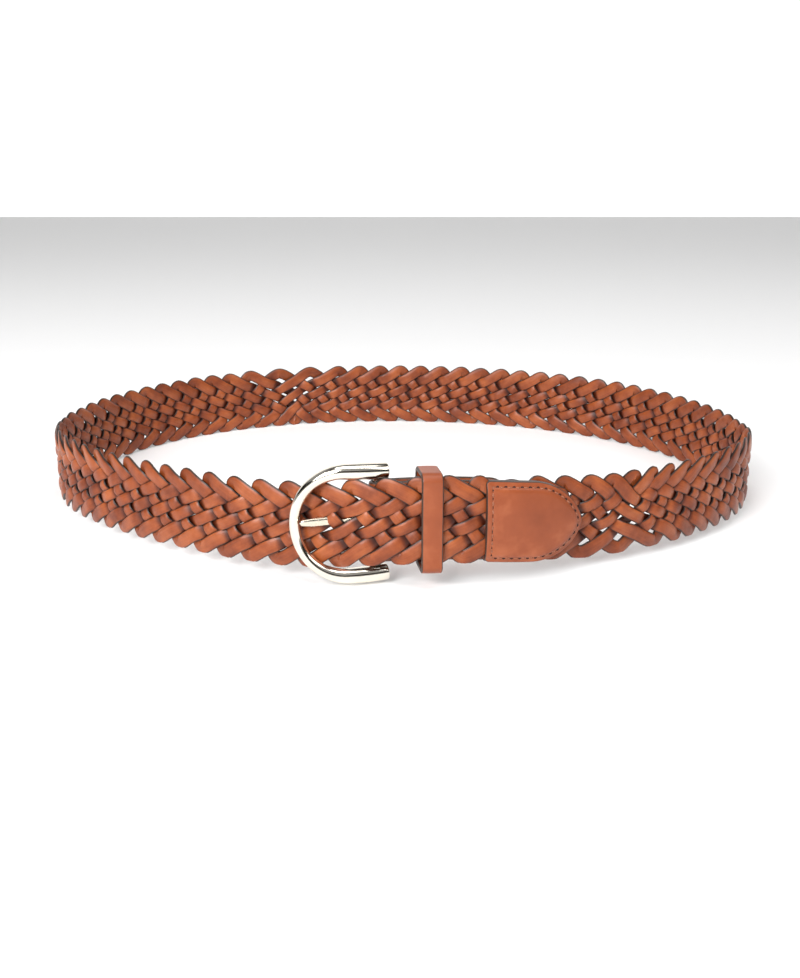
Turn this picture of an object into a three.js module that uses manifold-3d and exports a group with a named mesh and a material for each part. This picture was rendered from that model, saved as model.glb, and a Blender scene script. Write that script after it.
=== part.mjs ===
// Braided leather belt, fastened in a loop and standing on its lower edge.
// Millimetres, +Z up, +X to the wearer's left as seen from the front, +Y towards the back.
//
// Everything is first described along the strap: "along" runs round the loop from the
// front middle to the right, "inward" points to the inside of the loop, "up" is height.
import * as THREE from 'three';
import { mergeVertices } from 'three/addons/utils/BufferGeometryUtils.js';
import Module from 'manifold-3d';

// Loop of the strap's middle line, seen from above
const loopHalfWidth = 151.2;
const loopFrontDepth = 110.1;
const loopBackDepth = 130.3;
const loopFrontPinch = 0.2115;
const loopBackPinch = -0.0711;
const loopSkew = -4.6;

// Braided strap
const strapHeight = 31.4;
const strandCount = 7;
const strandWidth = 4.75;
const strandThickness = 1.8;
const strandSlant = 0.235;
const turnRoom = 0.75;
const braidPitch = 10.78;
const freeEndHeight = 31.8;
const freeEndRise = 0.9;
const patternTurnFront = 83;
const patternTurnBack = -369;

// Room kept between pieces that touch on the real belt
const clearance = 0.3;

// Horseshoe buckle, its bar and its prong
const barAlong = -8.5;
const barRadius = 1.4;
const armRadius = 3;
const armPastBar = 3.7;
const armStraight = 14;
const armLean = 0.5;
const armRoom = 0.55;
const crownRadius = 1.95;
const buckleLength = 33.6;
const frameRoom = 1.45;
const frameBow = 1.1;
const armsBeforeBar = 1.3;
const buckleRaise = 0.85;
const prongWidth = 3.2;
const prongThickness = 2;
const prongLoopWall = 1;
const prongRise = 0.8;
const prongNotch = 1.8;

// Leather tab folded round the bar
const tabThickness = 1.2;
const tabHeight = 29.8;
const tabEnd = 41;
const tabCornerRadius = 8;
const tabCore = 2.4;
const tabOffset = 0.1;

// Loose leather keeper
const keeperAlong = 11.1;
const keeperWidth = 7.6;
const keeperThickness = 1.7;
const keeperCornerRadius = 3.2;
const keeperRoom = 0.45;
const keeperSlack = 1.2;
const keeperSlant = 0.12;

// Leather tip on the free end, a front and a back piece
const tipStart = 29.5;
const tipLength = 36.5;
const tipHeight = 30.2;
const tipFrontThickness = 1.4;
const tipBackThickness = 1;
const tipStraightShare = 0.46;
const tipRimWidth = 3.2;
const tipCore = 2;
const noseFullness = 0.62;

// How far the strap's front stands above the surface, as shares of half the loop's
// length and of the lift at the buckle
const liftRows = [
  { along: -0.78, lift: 0 },
  { along: -0.61, lift: 0.06 },
  { along: -0.45, lift: 0.21 },
  { along: -0.33, lift: 0.4 },
  { along: -0.21, lift: 0.51 },
  { along: -0.1, lift: 0.56 },
  { along: 0, lift: 0.98 },
  { along: 0.05, lift: 1 },
  { along: 0.113, lift: 0.74 },
  { along: 0.18, lift: 0.5 },
  { along: 0.24, lift: 0.49 },
  { along: 0.33, lift: 0.4 },
  { along: 0.45, lift: 0.21 },
  { along: 0.61, lift: 0.06 },
  { along: 0.78, lift: 0 },
];
const strapAboveBuckle = 1.1;

// Share of a pitch that the braid's pattern has moved to the right, along the strap
const patternMoves = [
  { along: -780, move: 0.35 },
  { along: -756, move: 0.45 },
  { along: -742, move: 0.2 },
  { along: -713, move: -0.1 },
  { along: -600, move: -0.35 },
  { along: -535, move: -0.44 },
  { along: -445, move: -0.07 },
  { along: -345, move: 0.48 },
  { along: -294, move: 0.25 },
  { along: -158, move: 0.1 },
  { along: -118, move: -0.14 },
  { along: -87, move: -0.26 },
  { along: -43, move: -0.26 },
  { along: -12, move: 0.09 },
  { along: 30, move: 0.07 },
];

// Sizes that follow from the ones above
const tabHalf = tabCore / 2 + clearance + tabThickness;
const tabInward = tabHalf + tabOffset;
const freeEndInward = tabOffset - clearance - tipBackThickness - clearance - tipCore / 2;
const armReach = freeEndHeight / 2 + armRadius + armRoom;
const buckleMiddle = armReach + armRadius + buckleRaise;
const buckleLift = buckleMiddle + strapAboveBuckle - strapHeight / 2;
const armEnd = barAlong + armPastBar;
const crownAlong = armEnd - buckleLength + crownRadius;
const levelStep = (strapHeight - strandWidth - turnRoom) / strandCount;

// Smooth rise from 0 to 1 as a value passes from one place to another
function rise(value, from, to) {
  return THREE.MathUtils.smoothstep(value, from, to);
}

// Plan of the loop
function loopPoint(turn) {
  const cos = Math.cos(turn);
  const sin = Math.sin(turn);
  const pinch = sin < 0 ? loopFrontPinch : loopBackPinch;
  const depth = sin < 0 ? loopFrontDepth : loopBackDepth;
  return new THREE.Vector2(
    loopHalfWidth * cos * (1 - pinch * sin * sin),
    depth * sin + loopSkew * cos,
  );
}

const loopSteps = 1440;
const loopTable = [{ turn: -Math.PI / 2, along: 0 }];
for (let step = 1; step <= loopSteps; step += 1) {
  const turn = -Math.PI / 2 + (2 * Math.PI * step) / loopSteps;
  const last = loopTable[step - 1];
  loopTable.push({ turn, along: last.along + loopPoint(turn).distanceTo(loopPoint(last.turn)) });
}
const loopLength = loopTable[loopSteps].along;

function turnAt(along) {
  const wanted = THREE.MathUtils.euclideanModulo(along, loopLength);
  let low = 0;
  let high = loopSteps;
  while (high - low > 1) {
    const middle = (low + high) >> 1;
    if (loopTable[middle].along <= wanted) low = middle;
    else high = middle;
  }
  const share = (wanted - loopTable[low].along) / (loopTable[high].along - loopTable[low].along);
  return THREE.MathUtils.lerp(loopTable[low].turn, loopTable[high].turn, share);
}

function headingAt(along) {
  const turn = turnAt(along);
  const reach = 0.01;
  return loopPoint(turn + reach).sub(loopPoint(turn - reach)).normalize();
}

// From (along, inward, up) to real space
function place(along, inward, up) {
  const point = loopPoint(turnAt(along));
  const heading = headingAt(along);
  return new THREE.Vector3(point.x - heading.y * inward, point.y + heading.x * inward, up);
}

// Height of the strap's middle line: a smooth curve through the rows of shares
function loopMiddle(along) {
  const half = loopLength / 2;
  const share = (THREE.MathUtils.euclideanModulo(along + half, loopLength) - half) / half;
  const last = liftRows.length - 1;
  let lift = 0;
  for (let row = 0; row < last; row += 1) {
    const from = liftRows[row];
    const to = liftRows[row + 1];
    if (share < from.along || share >= to.along) continue;
    const before = liftRows[Math.max(row - 1, 0)];
    const after = liftRows[Math.min(row + 2, last)];
    const span = to.along - from.along;
    const leave = ((to.lift - before.lift) / (to.along - before.along)) * span;
    const arrive = ((after.lift - from.lift) / (after.along - from.along)) * span;
    const t = (share - from.along) / span;
    lift = (2 * t ** 3 - 3 * t ** 2 + 1) * from.lift
      + (t ** 3 - 2 * t ** 2 + t) * leave
      + (3 * t ** 2 - 2 * t ** 3) * to.lift
      + (t ** 3 - t ** 2) * arrive;
  }
  return strapHeight / 2 + buckleLift * lift;
}

// The free end rides a little higher than the layer under it.
function strapMiddle(along) {
  return loopMiddle(along) + freeEndRise * rise(along, -45, -5);
}

// The strap runs from inside the buckle's tab (one loop length behind) to inside the tip.
const strapFrom = 1.5 - loopLength;
const strapTo = tipStart + tipLength - 8;
const layerBlend = { freeFrom: -45, freeTo: -2, tabFrom: tabEnd + 4, tabTo: 115 };

function strapInward(along) {
  const free = freeEndInward * rise(along, layerBlend.freeFrom, layerBlend.freeTo);
  const tab = tabInward * (1 - rise(along + loopLength, layerBlend.tabFrom, layerBlend.tabTo));
  return free + tab;
}

// Share of the full thickness left where the braid is pressed between two leather pieces
function strapPress(along) {
  const full = 2 * strandThickness;
  const inTip = rise(along, tipStart - 1.2 * braidPitch, tipStart - braidPitch / 2);
  const inTab = 1 - rise(along + loopLength, tabEnd + braidPitch / 2, tabEnd + 1.2 * braidPitch);
  return 1 - inTip * (1 - tipCore / full) - inTab * (1 - tabCore / full);
}

// Share of the full height where the free end is drawn through the buckle
function strapDraw(along) {
  const drawn = rise(along, layerBlend.freeFrom - 10, layerBlend.freeFrom + 20);
  const inTab = 1 - rise(along + loopLength, tabEnd - 1, tabEnd + 8);
  const tabShare = (tabHeight - 1) / strapHeight;
  return 1 - drawn * (1 - freeEndHeight / strapHeight) - inTab * (1 - tabShare);
}

function strapPoint(along, out, up) {
  return place(
    along,
    strapInward(along) - out * strapPress(along),
    strapMiddle(along) + up * strapDraw(along),
  );
}

// Solids and geometries
const wasm = await Module();
wasm.setup();

function solidOf(geometry) {
  const bare = geometry.clone();
  bare.deleteAttribute('normal');
  bare.deleteAttribute('uv');
  const merged = mergeVertices(bare, 1e-4);
  return new wasm.Manifold(new wasm.Mesh({
    numProp: 3,
    vertProperties: Float32Array.from(merged.attributes.position.array),
    triVerts: Uint32Array.from(merged.index.array),
  }));
}

function geometryOf(solid) {
  const mesh = solid.getMesh();
  const geometry = new THREE.BufferGeometry();
  geometry.setAttribute('position', new THREE.BufferAttribute(Float32Array.from(mesh.vertProperties), 3));
  geometry.setIndex(new THREE.BufferAttribute(Uint32Array.from(mesh.triVerts), 1));
  geometry.computeVertexNormals();
  return geometry;
}

function geometryFrom(points, triangles) {
  const geometry = new THREE.BufferGeometry();
  geometry.setFromPoints(points);
  geometry.setIndex(triangles);
  geometry.computeVertexNormals();
  return geometry;
}

// Closed skin over a row of rings, each a list of points going round the same way.
// Each end is closed by a strip between one half of its ring and the other.
function loft(rings) {
  const sides = rings[0].length;
  const last = (rings.length - 1) * sides;
  const triangles = [];
  for (let ring = 0; ring < rings.length - 1; ring += 1) {
    for (let side = 0; side < sides; side += 1) {
      const a = ring * sides + side;
      const b = ring * sides + ((side + 1) % sides);
      triangles.push(a, b, b + sides, a, b + sides, a + sides);
    }
  }
  for (let side = 0; side < sides / 2 - 1; side += 1) {
    const [near, next] = [side, side + 1];
    const [far, farNext] = [sides - 1 - side, sides - 2 - side];
    triangles.push(near, farNext, next, near, far, farNext);
    triangles.push(last + near, last + next, last + farNext, last + near, last + farNext, last + far);
  }
  return geometryFrom(rings.flat(), triangles);
}

// Moves each point of a geometry made flat, as (along, inward, up), to real space
function bend(geometry, middleAt) {
  const position = geometry.attributes.position;
  for (let index = 0; index < position.count; index += 1) {
    const along = position.getX(index);
    const point = place(along, position.getY(index), position.getZ(index) + middleAt(along));
    position.setXYZ(index, point.x, point.y, point.z);
  }
  return geometry;
}

// Outline drawn as (along, up), made thick along inward and bent with the loop
function bentPlate(outline, fromInward, toInward, middleAt) {
  const plate = new THREE.ExtrudeGeometry(outline, {
    depth: toInward - fromInward,
    bevelEnabled: false,
    curveSegments: 8,
  });
  plate.rotateX(Math.PI / 2);
  plate.translate(0, toInward, 0);
  return bend(plate, middleAt);
}

// The way of the prong through leather, at the middle of the buckle
function prongWay(fromAlong, toAlong, inward, halfInward) {
  const length = toAlong - fromAlong;
  const high = prongWidth + 2 * clearance + 0.2;
  const block = new THREE.BoxGeometry(length, 2 * halfInward, high, Math.ceil(length / 4), 1, 1);
  block.translate((fromAlong + toAlong) / 2, inward, 0);
  return bend(block, () => buckleMiddle + prongRise);
}

// Braid relief: each crossing is a diamond with a ridge along the strand on top
const crossingDepth = 1;
const rimHalf = 0.75;
const lobeHalfWidth = 1.5;
const notchRise = 1;
const ridgeShare = 0.62;
const endReach = 20;

function strandRisesRight(level, along) {
  const mirrored = along < patternTurnBack && along > patternTurnFront - loopLength;
  return (level % 2 === 0) !== mirrored;
}

// 1 where the flat strands rise to the right, -1 in the mirrored part of the braid
function patternHand(along) {
  const front = patternTurnFront - loopLength;
  const reach = 2 * braidPitch;
  return 1 - 2 * rise(along, front - reach, front + reach)
    + 2 * rise(along, patternTurnBack - reach, patternTurnBack + reach);
}

// The braid leans: one family of strands lies flatter than the other. Its ends are square.
function patternLean(along, up) {
  const last = patternMoves.length - 1;
  let move = along < patternMoves[0].along ? patternMoves[0].move : patternMoves[last].move;
  for (let row = 0; row < last; row += 1) {
    const from = patternMoves[row];
    const to = patternMoves[row + 1];
    if (along < from.along || along >= to.along) continue;
    move = THREE.MathUtils.mapLinear(along, from.along, to.along, from.move, to.move);
  }
  const lean = patternHand(along) * strandSlant * (up / levelStep) + move;
  const inside = rise(along, strapFrom, strapFrom + endReach) * (1 - rise(along, strapTo - endReach, strapTo));
  return braidPitch * lean * inside;
}

function braidedStrap() {
  const points = [];
  const faces = { front: [], back: [] };
  const found = { front: new Map(), back: new Map() };

  function corner(face, along, up, out) {
    const key = `${Math.round(along * 100)}_${Math.round(up * 100)}`;
    if (!found[face].has(key)) {
      found[face].set(key, points.length);
      const leaning = along + patternLean(along, up);
      points.push(strapPoint(leaning, face === 'front' ? out : -out, up));
    }
    return found[face].get(key);
  }

  function fan(face, middle, ring) {
    ring.forEach((from, index) => {
      const to = ring[(index + 1) % ring.length];
      faces[face].push(face === 'front' ? [middle, from, to] : [middle, to, from]);
    });
  }

  function add(face, ...triangle) {
    faces[face].push(face === 'front' ? triangle : triangle.reverse());
  }

  // A corner on the outermost rows is a notch of the scalloped edge
  function gapCorner(face, along, row) {
    const up = (strandCount / 2 - row) * levelStep;
    if (row === 0) return corner(face, along, up + notchRise, rimHalf);
    if (row === strandCount) return corner(face, along, up - notchRise, rimHalf);
    return corner(face, along, up, crossingDepth);
  }

  function crossing(face, along, level) {
    const left = gapCorner(face, along - braidPitch / 2, level);
    const right = gapCorner(face, along + braidPitch / 2, level);
    const top = gapCorner(face, along, level - 1);
    const bottom = gapCorner(face, along, level + 1);
    const up = (strandCount / 2 - level) * levelStep;
    if (face === 'back') {
      fan(face, corner(face, along, up, strandThickness), [left, bottom, right, top]);
      return;
    }
    const slope = strandRisesRight(level, along) ? 1 : -1;
    const reach = (ridgeShare * braidPitch) / 4;
    const climb = (slope * ridgeShare * levelStep) / 2;
    const start = corner(face, along - reach, up - climb, strandThickness);
    const end = corner(face, along + reach, up + climb, strandThickness);
    add(face, left, bottom, start);
    add(face, bottom, end, start);
    add(face, bottom, right, end);
    add(face, right, top, end);
    add(face, top, start, end);
    add(face, top, left, start);
  }

  // Where a strand turns back at the edge it makes a round lobe
  function lobe(face, along, row) {
    const side = row === 0 ? 1 : -1;
    const inner = gapCorner(face, along, row + side);
    const left = gapCorner(face, along - braidPitch / 2, row);
    const right = gapCorner(face, along + braidPitch / 2, row);
    const edge = side * (strapHeight / 2);
    const tipLeft = corner(face, along - lobeHalfWidth, edge, rimHalf);
    const tipRight = corner(face, along + lobeHalfWidth, edge, rimHalf);
    const ridge = corner(face, along, (side * strandCount * levelStep) / 2, 0.9 * strandThickness);
    const ring = [left, inner, right, tipRight, tipLeft];
    fan(face, ridge, side > 0 ? ring : ring.reverse());
  }

  const columns = Math.ceil((strapTo - strapFrom) / braidPitch);
  for (const face of ['front', 'back']) {
    for (let column = 0; column < columns; column += 1) {
      const along = strapFrom + braidPitch / 2 + column * braidPitch;
      for (let level = 1; level < strandCount; level += 1) {
        crossing(face, along + (level % 2 === 0 ? braidPitch / 2 : 0), level);
      }
      lobe(face, along + braidPitch / 2, 0);
      lobe(face, along + (strandCount % 2 === 0 ? braidPitch / 2 : 0), strandCount);
    }
  }

  // The rim joins the edges that only one triangle of the front uses to the same on the back
  const partner = new Map();
  for (const [key, index] of found.front) {
    if (found.back.has(key)) partner.set(index, found.back.get(key));
  }
  const open = new Map();
  for (const [a, b, c] of faces.front) {
    for (const [from, to] of [[a, b], [b, c], [c, a]]) {
      if (open.has(`${to}_${from}`)) open.delete(`${to}_${from}`);
      else open.set(`${from}_${to}`, [from, to]);
    }
  }
  const rim = [];
  for (const [from, to] of open.values()) {
    rim.push([from, partner.get(from), partner.get(to)], [from, partner.get(to), to]);
  }
  const triangles = [...faces.front, ...faces.back, ...rim].flat();
  return solidOf(geometryFrom(points, triangles));
}

// Outline of the tip: straight at the braid, round at the nose
function tipHalfHeight(along, inset) {
  const share = (along - tipStart) / tipLength;
  const nose = THREE.MathUtils.clamp((share - tipStraightShare) / (1 - tipStraightShare), 0, 1);
  const round = Math.max(0, 1 - nose ** 2) ** noseFullness;
  return Math.max(0.6, (tipHeight / 2) * round - inset);
}

// One half of the tip, a dished piece whose rim comes down to meet the other half.
// side is -1 for the front half and 1 for the back half.
function tipHalf(side, thickness, dome) {
  const seat = tipCore / 2 + clearance;
  const rimSeat = clearance / 2;
  const stations = 12;
  const across = [-1, -0.93, -0.78, -0.4, 0, 0.4, 0.78, 0.93, 1];
  const rings = [];
  for (let station = 0; station <= stations; station += 1) {
    const along = tipStart + tipLength * Math.sin((Math.PI / 2) * (station / stations));
    const half = tipHalfHeight(along, 0);
    const fromNose = tipStart + tipLength - along;
    const open = rise(fromNose, 0.6, tipRimWidth + 1.5);
    const under = [];
    const over = [];
    for (const share of across) {
      const fromRim = half * (1 - Math.abs(share));
      const lift = open * rise(fromRim, 0.6, tipRimWidth);
      const inner = rimSeat + (seat - rimSeat) * lift;
      const outer = inner + thickness + dome * open * (1 - share ** 2);
      const height = strapMiddle(along) + half * share;
      under.push(place(along, freeEndInward + side * inner, height));
      over.push(place(along, freeEndInward + side * outer, height));
    }
    rings.push(side < 0 ? [...under, ...over.reverse()] : [...over, ...under.reverse()]);
  }
  return loft(rings);
}

// The part of the braid that the tip takes in ends in a tongue clear of the tip's rim
function tongueOutline() {
  const outline = new THREE.Shape();
  const start = tipStart - 1;
  const end = strapTo - 1;
  const steps = 12;
  const upper = [];
  for (let step = 0; step <= steps; step += 1) {
    const along = THREE.MathUtils.lerp(start, end, step / steps);
    upper.push(new THREE.Vector2(along, tipHalfHeight(along, tipRimWidth)));
  }
  const tall = strapHeight;
  outline.moveTo(start, tall);
  outline.lineTo(start, upper[0].y);
  upper.forEach((point) => outline.lineTo(point.x, point.y));
  outline.lineTo(end, -upper[steps].y);
  upper.reverse().forEach((point) => outline.lineTo(point.x, -point.y));
  outline.lineTo(start, -tall);
  outline.lineTo(strapTo + 1.5 * braidPitch, -tall);
  outline.lineTo(strapTo + 1.5 * braidPitch, tall);
  return outline;
}

// Side view of the tab folded round the bar
function tabLegs() {
  const outerSkin = tabInward - tabCore / 2 - clearance - tabThickness;
  const innerSkin = tabInward + tabCore / 2 + clearance + tabThickness;
  const foldInner = barRadius + clearance;
  const foldOuter = foldInner + tabThickness;
  const legStart = barAlong + foldOuter + 4;
  const legSteps = 8;
  const foldSteps = 10;
  const foldHalfTurn = THREE.MathUtils.degToRad(110);
  function path(radius, frontSkin, backSkin) {
    const points = [];
    for (let step = 0; step <= legSteps; step += 1) {
      points.push(new THREE.Vector2(THREE.MathUtils.lerp(tabEnd, legStart, step / legSteps), frontSkin));
    }
    for (let step = 0; step <= foldSteps; step += 1) {
      const turn = Math.PI + foldHalfTurn * (1 - (2 * step) / foldSteps);
      points.push(new THREE.Vector2(
        barAlong + radius * Math.cos(turn),
        tabInward + radius * Math.sin(turn),
      ));
    }
    for (let step = 0; step <= legSteps; step += 1) {
      points.push(new THREE.Vector2(THREE.MathUtils.lerp(legStart, tabEnd, step / legSteps), backSkin));
    }
    return points;
  }
  const outside = path(foldOuter, outerSkin, innerSkin);
  const inside = path(foldInner, outerSkin + tabThickness, innerSkin - tabThickness);
  return new THREE.Shape([...outside, ...inside.reverse()]);
}

function tabOutline() {
  const outline = new THREE.Shape();
  const half = tabHeight / 2;
  const from = barAlong - 10;
  outline.moveTo(from, -half);
  for (let along = from + 4; along < tabEnd - tabCornerRadius; along += 4) outline.lineTo(along, -half);
  outline.absarc(tabEnd - tabCornerRadius, -half + tabCornerRadius, tabCornerRadius, -Math.PI / 2, 0, false);
  outline.absarc(tabEnd - tabCornerRadius, half - tabCornerRadius, tabCornerRadius, 0, Math.PI / 2, false);
  outline.lineTo(from, half);
  return outline;
}

function buckleTab() {
  const uncutHeight = tabHeight + 2;
  const folded = new THREE.ExtrudeGeometry(tabLegs(), { depth: uncutHeight, bevelEnabled: false });
  folded.translate(0, 0, -uncutHeight / 2);
  bend(folded, loopMiddle);
  const outline = bentPlate(tabOutline(), tabInward - 12, tabInward + 12, loopMiddle);
  const slotEnd = barAlong + barRadius + clearance + prongLoopWall + clearance;
  const slot = prongWay(barAlong - 8, slotEnd, tabInward, 6);
  return solidOf(folded).intersect(solidOf(outline)).subtract(solidOf(slot));
}

// Buckle frame: two straight arms and a half oval, bowed along the waist
const crownInward = strapInward(crownAlong) - strandThickness - crownRadius - frameRoom;

function frameInward(along) {
  const share = (barAlong - along) / (barAlong - crownAlong);
  const bow = frameBow * 4 * share * (1 - share);
  return THREE.MathUtils.lerp(tabInward - armsBeforeBar, crownInward, share) - bow;
}

function buckleRings() {
  const ovalStart = armEnd - armStraight;
  const ovalReach = ovalStart - crownAlong;
  const centres = [];
  const armSteps = 4;
  // The arms lean towards each other at their ends
  function armCentre(share, side) {
    return {
      along: THREE.MathUtils.lerp(armEnd, ovalStart, share),
      up: side * (armReach - armLean * (1 - share) ** 1.5),
    };
  }
  const ovalSteps = 24;
  for (let step = 0; step < armSteps; step += 1) {
    centres.push(armCentre(step / armSteps, 1));
  }
  for (let step = 0; step <= ovalSteps; step += 1) {
    const turn = Math.PI / 2 + (Math.PI * step) / ovalSteps;
    centres.push({ along: ovalStart + ovalReach * Math.cos(turn), up: armReach * Math.sin(turn) });
  }
  for (let step = armSteps - 1; step >= 0; step -= 1) {
    centres.push(armCentre(step / armSteps, -1));
  }
  const middles = centres.map(({ along, up }) => place(along, frameInward(along), buckleMiddle + up));
  const sides = 12;
  const chamfer = 0.5;
  const rings = [];
  function ring(middle, forward, radius) {
    const across = new THREE.Vector3(0, 1, 0).cross(forward).normalize();
    const outward = forward.clone().cross(across);
    const points = [];
    for (let side = 0; side < sides; side += 1) {
      const turn = (2 * Math.PI * side) / sides;
      const point = middle.clone();
      point.addScaledVector(across, radius * Math.cos(turn));
      point.addScaledVector(outward, radius * Math.sin(turn));
      points.push(point);
    }
    rings.push(points);
  }
  middles.forEach((middle, index) => {
    const before = middles[Math.max(index - 1, 0)];
    const after = middles[Math.min(index + 1, middles.length - 1)];
    const forward = after.clone().sub(before).normalize();
    const share = rise(centres[index].along, crownAlong, armEnd - armStraight / 2);
    const radius = THREE.MathUtils.lerp(crownRadius, armRadius, share);
    if (index === 0) {
      ring(middle, forward, radius - chamfer);
      ring(middle.clone().addScaledVector(forward, chamfer), forward, radius);
    } else if (index === middles.length - 1) {
      ring(middle.clone().addScaledVector(forward, -chamfer), forward, radius);
      ring(middle, forward, radius - chamfer);
    } else {
      ring(middle, forward, radius);
    }
  });
  return loft(rings);
}

// Prong: a ring round the bar and a shank that rises through the braid to the crown
function prongShank(extra) {
  const rest = crownInward - crownRadius - clearance - prongThickness / 2 + prongNotch;
  const loopRadius = barRadius + clearance + prongLoopWall / 2;
  const start = { along: barAlong - 0.7 * loopRadius, inward: tabInward - 0.7 * loopRadius };
  const end = { along: crownAlong + crownRadius + 0.5, inward: rest };
  const rows = [
    { share: 0, drop: 0 },
    { share: 0.13, drop: 0.1 },
    { share: 0.3, drop: 0.19 },
    { share: 0.5, drop: 0.28 },
    { share: 0.62, drop: 0.36 },
    { share: 0.8, drop: 0.66 },
    { share: 1, drop: 1 },
  ];
  const curve = new THREE.CatmullRomCurve3(rows.map(({ share, drop }) => place(
    THREE.MathUtils.lerp(start.along, end.along, share),
    THREE.MathUtils.lerp(start.inward, end.inward, drop),
    buckleMiddle + prongRise,
  )));
  const steps = 12;
  const rings = [];
  const up = new THREE.Vector3(0, 0, 1);
  for (let step = 0; step <= steps; step += 1) {
    const share = step / steps;
    const forward = curve.getTangent(share);
    const outward = forward.clone().cross(up);
    const taper = 1 - 0.3 * rise(share, 0.8, 1);
    const halfWide = (prongWidth / 2) * taper + extra;
    const halfThick = (prongThickness / 2) * taper + extra;
    const bevel = 0.55;
    const middle = curve.getPoint(share);
    if (step === 0) middle.addScaledVector(forward, -extra);
    if (step === steps) middle.addScaledVector(forward, extra);
    const section = [
      [halfWide, bevel * halfThick], [bevel * halfWide, halfThick],
      [-bevel * halfWide, halfThick], [-halfWide, bevel * halfThick],
      [-halfWide, -bevel * halfThick], [-bevel * halfWide, -halfThick],
      [bevel * halfWide, -halfThick], [halfWide, -bevel * halfThick],
    ];
    rings.push(section.map(([high, thick]) => middle.clone()
      .addScaledVector(up, high)
      .addScaledVector(outward, thick)));
  }
  return loft(rings);
}

function pinAtBar(radius, height, middleUp) {
  const pin = new THREE.CylinderGeometry(radius, radius, height, 16);
  pin.rotateX(Math.PI / 2);
  const middle = place(barAlong, tabInward, middleUp);
  pin.translate(middle.x, middle.y, middle.z);
  return solidOf(pin);
}

function buckleProng() {
  const hole = barRadius + clearance;
  const middle = buckleMiddle + prongRise;
  const ring = pinAtBar(hole + prongLoopWall, prongWidth, middle);
  return ring.add(solidOf(prongShank(0))).subtract(pinAtBar(hole, 2 * prongWidth, middle));
}

function buckleFrame() {
  const bar = pinAtBar(barRadius, 2 * armReach, buckleMiddle);
  return solidOf(buckleRings()).add(bar).subtract(solidOf(prongShank(clearance)));
}

// Keeper: a rounded loop round both layers, drawn as (inward, up)
function keeperLoop() {
  const front = freeEndInward - strandThickness - keeperRoom;
  const back = tabInward + tabCore / 2 + clearance + tabThickness + keeperRoom;
  const halfUp = (freeEndHeight + keeperSlack) / 2 + clearance;
  function frameShape(Kind, grow, radius) {
    const shape = new Kind();
    const left = front - grow + radius;
    const right = back + grow - radius;
    const high = halfUp + grow - radius;
    shape.absarc(right, -high, radius, -Math.PI / 2, 0, false);
    shape.absarc(right, high, radius, 0, Math.PI / 2, false);
    shape.absarc(left, high, radius, Math.PI / 2, Math.PI, false);
    shape.absarc(left, -high, radius, Math.PI, 1.5 * Math.PI, false);
    return shape;
  }
  const outline = frameShape(THREE.Shape, keeperThickness, keeperCornerRadius);
  outline.holes.push(frameShape(THREE.Path, 0, keeperCornerRadius - keeperThickness));
  const keeper = new THREE.ExtrudeGeometry(outline, {
    depth: keeperWidth,
    bevelEnabled: false,
    curveSegments: 5,
  });
  keeper.translate(0, 0, -keeperWidth / 2);
  // (inward, up, along) becomes (along, inward, up)
  keeper.applyMatrix4(new THREE.Matrix4().makeBasis(
    new THREE.Vector3(0, 1, 0),
    new THREE.Vector3(0, 0, 1),
    new THREE.Vector3(1, 0, 0),
  ));
  // The back of the loop lies further left than its front
  const slant = new THREE.Matrix4().makeShear(0, 0, -keeperSlant, 0, 0, 0);
  keeper.applyMatrix4(slant).translate(keeperSlant * (front - keeperThickness), 0, 0);
  return mergeVertices(keeper.deleteAttribute('uv').deleteAttribute('normal'), 1e-4);
}

// Materials
const leather = { color: 0xa9582f, roughness: 0.5, metalness: 0 };
const tabLeather = { color: 0xa4532b, roughness: 0.45, metalness: 0 };
const paleGold = { color: 0xd8cdb4, roughness: 0.18, metalness: 1 };

const belt = new THREE.Group();

function addPiece(name, geometry, look) {
  if (!geometry.attributes.normal) geometry.computeVertexNormals();
  const mesh = new THREE.Mesh(geometry, new THREE.MeshStandardMaterial(look));
  mesh.name = name;
  belt.add(mesh);
  return mesh;
}

const prongSlotStart = 7;
const prongSlot = prongWay(crownAlong + prongSlotStart, barAlong - barRadius, 0, 4 * tabHalf);
const tongueReach = strandThickness + clearance;
const tongueCut = bentPlate(
  tongueOutline(),
  freeEndInward - tongueReach,
  freeEndInward + tongueReach,
  strapMiddle,
);
const strap = braidedStrap()
  .subtract(solidOf(prongSlot))
  .subtract(solidOf(tongueCut));

addPiece('braided_strap', geometryOf(strap), leather);
addPiece('buckle_frame', geometryOf(buckleFrame()), paleGold);
addPiece('buckle_prong', geometryOf(buckleProng()), paleGold);
addPiece('buckle_tab', geometryOf(buckleTab()), tabLeather);
addPiece('tip_front', tipHalf(-1, tipFrontThickness, 0.5), tabLeather);
addPiece('tip_back', tipHalf(1, tipBackThickness, 0), tabLeather);

const keeper = addPiece('keeper_loop', keeperLoop(), tabLeather);
const keeperHeading = headingAt(keeperAlong);
keeper.position.copy(place(keeperAlong, 0, strapMiddle(keeperAlong) - keeperSlack / 2));
keeper.rotation.z = Math.atan2(keeperHeading.y, keeperHeading.x);

// The origin is on the surface, under the middle of the belt's box
const box = new THREE.Box3().setFromObject(belt, true);
belt.position.set(-(box.min.x + box.max.x) / 2, -(box.min.y + box.max.y) / 2, -box.min.z);
belt.updateMatrixWorld(true);

export default belt;
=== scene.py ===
"""Braided leather belt with a horseshoe buckle, a keeper and a stitched tip.

Sizes are in millimetres until a mesh is made. Places are first given along the strap:
"along" runs round the loop from the front middle to the right, "inward" points to the
inside of the loop, "out" to its outside, and "up" is height.
"""
import math

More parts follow.
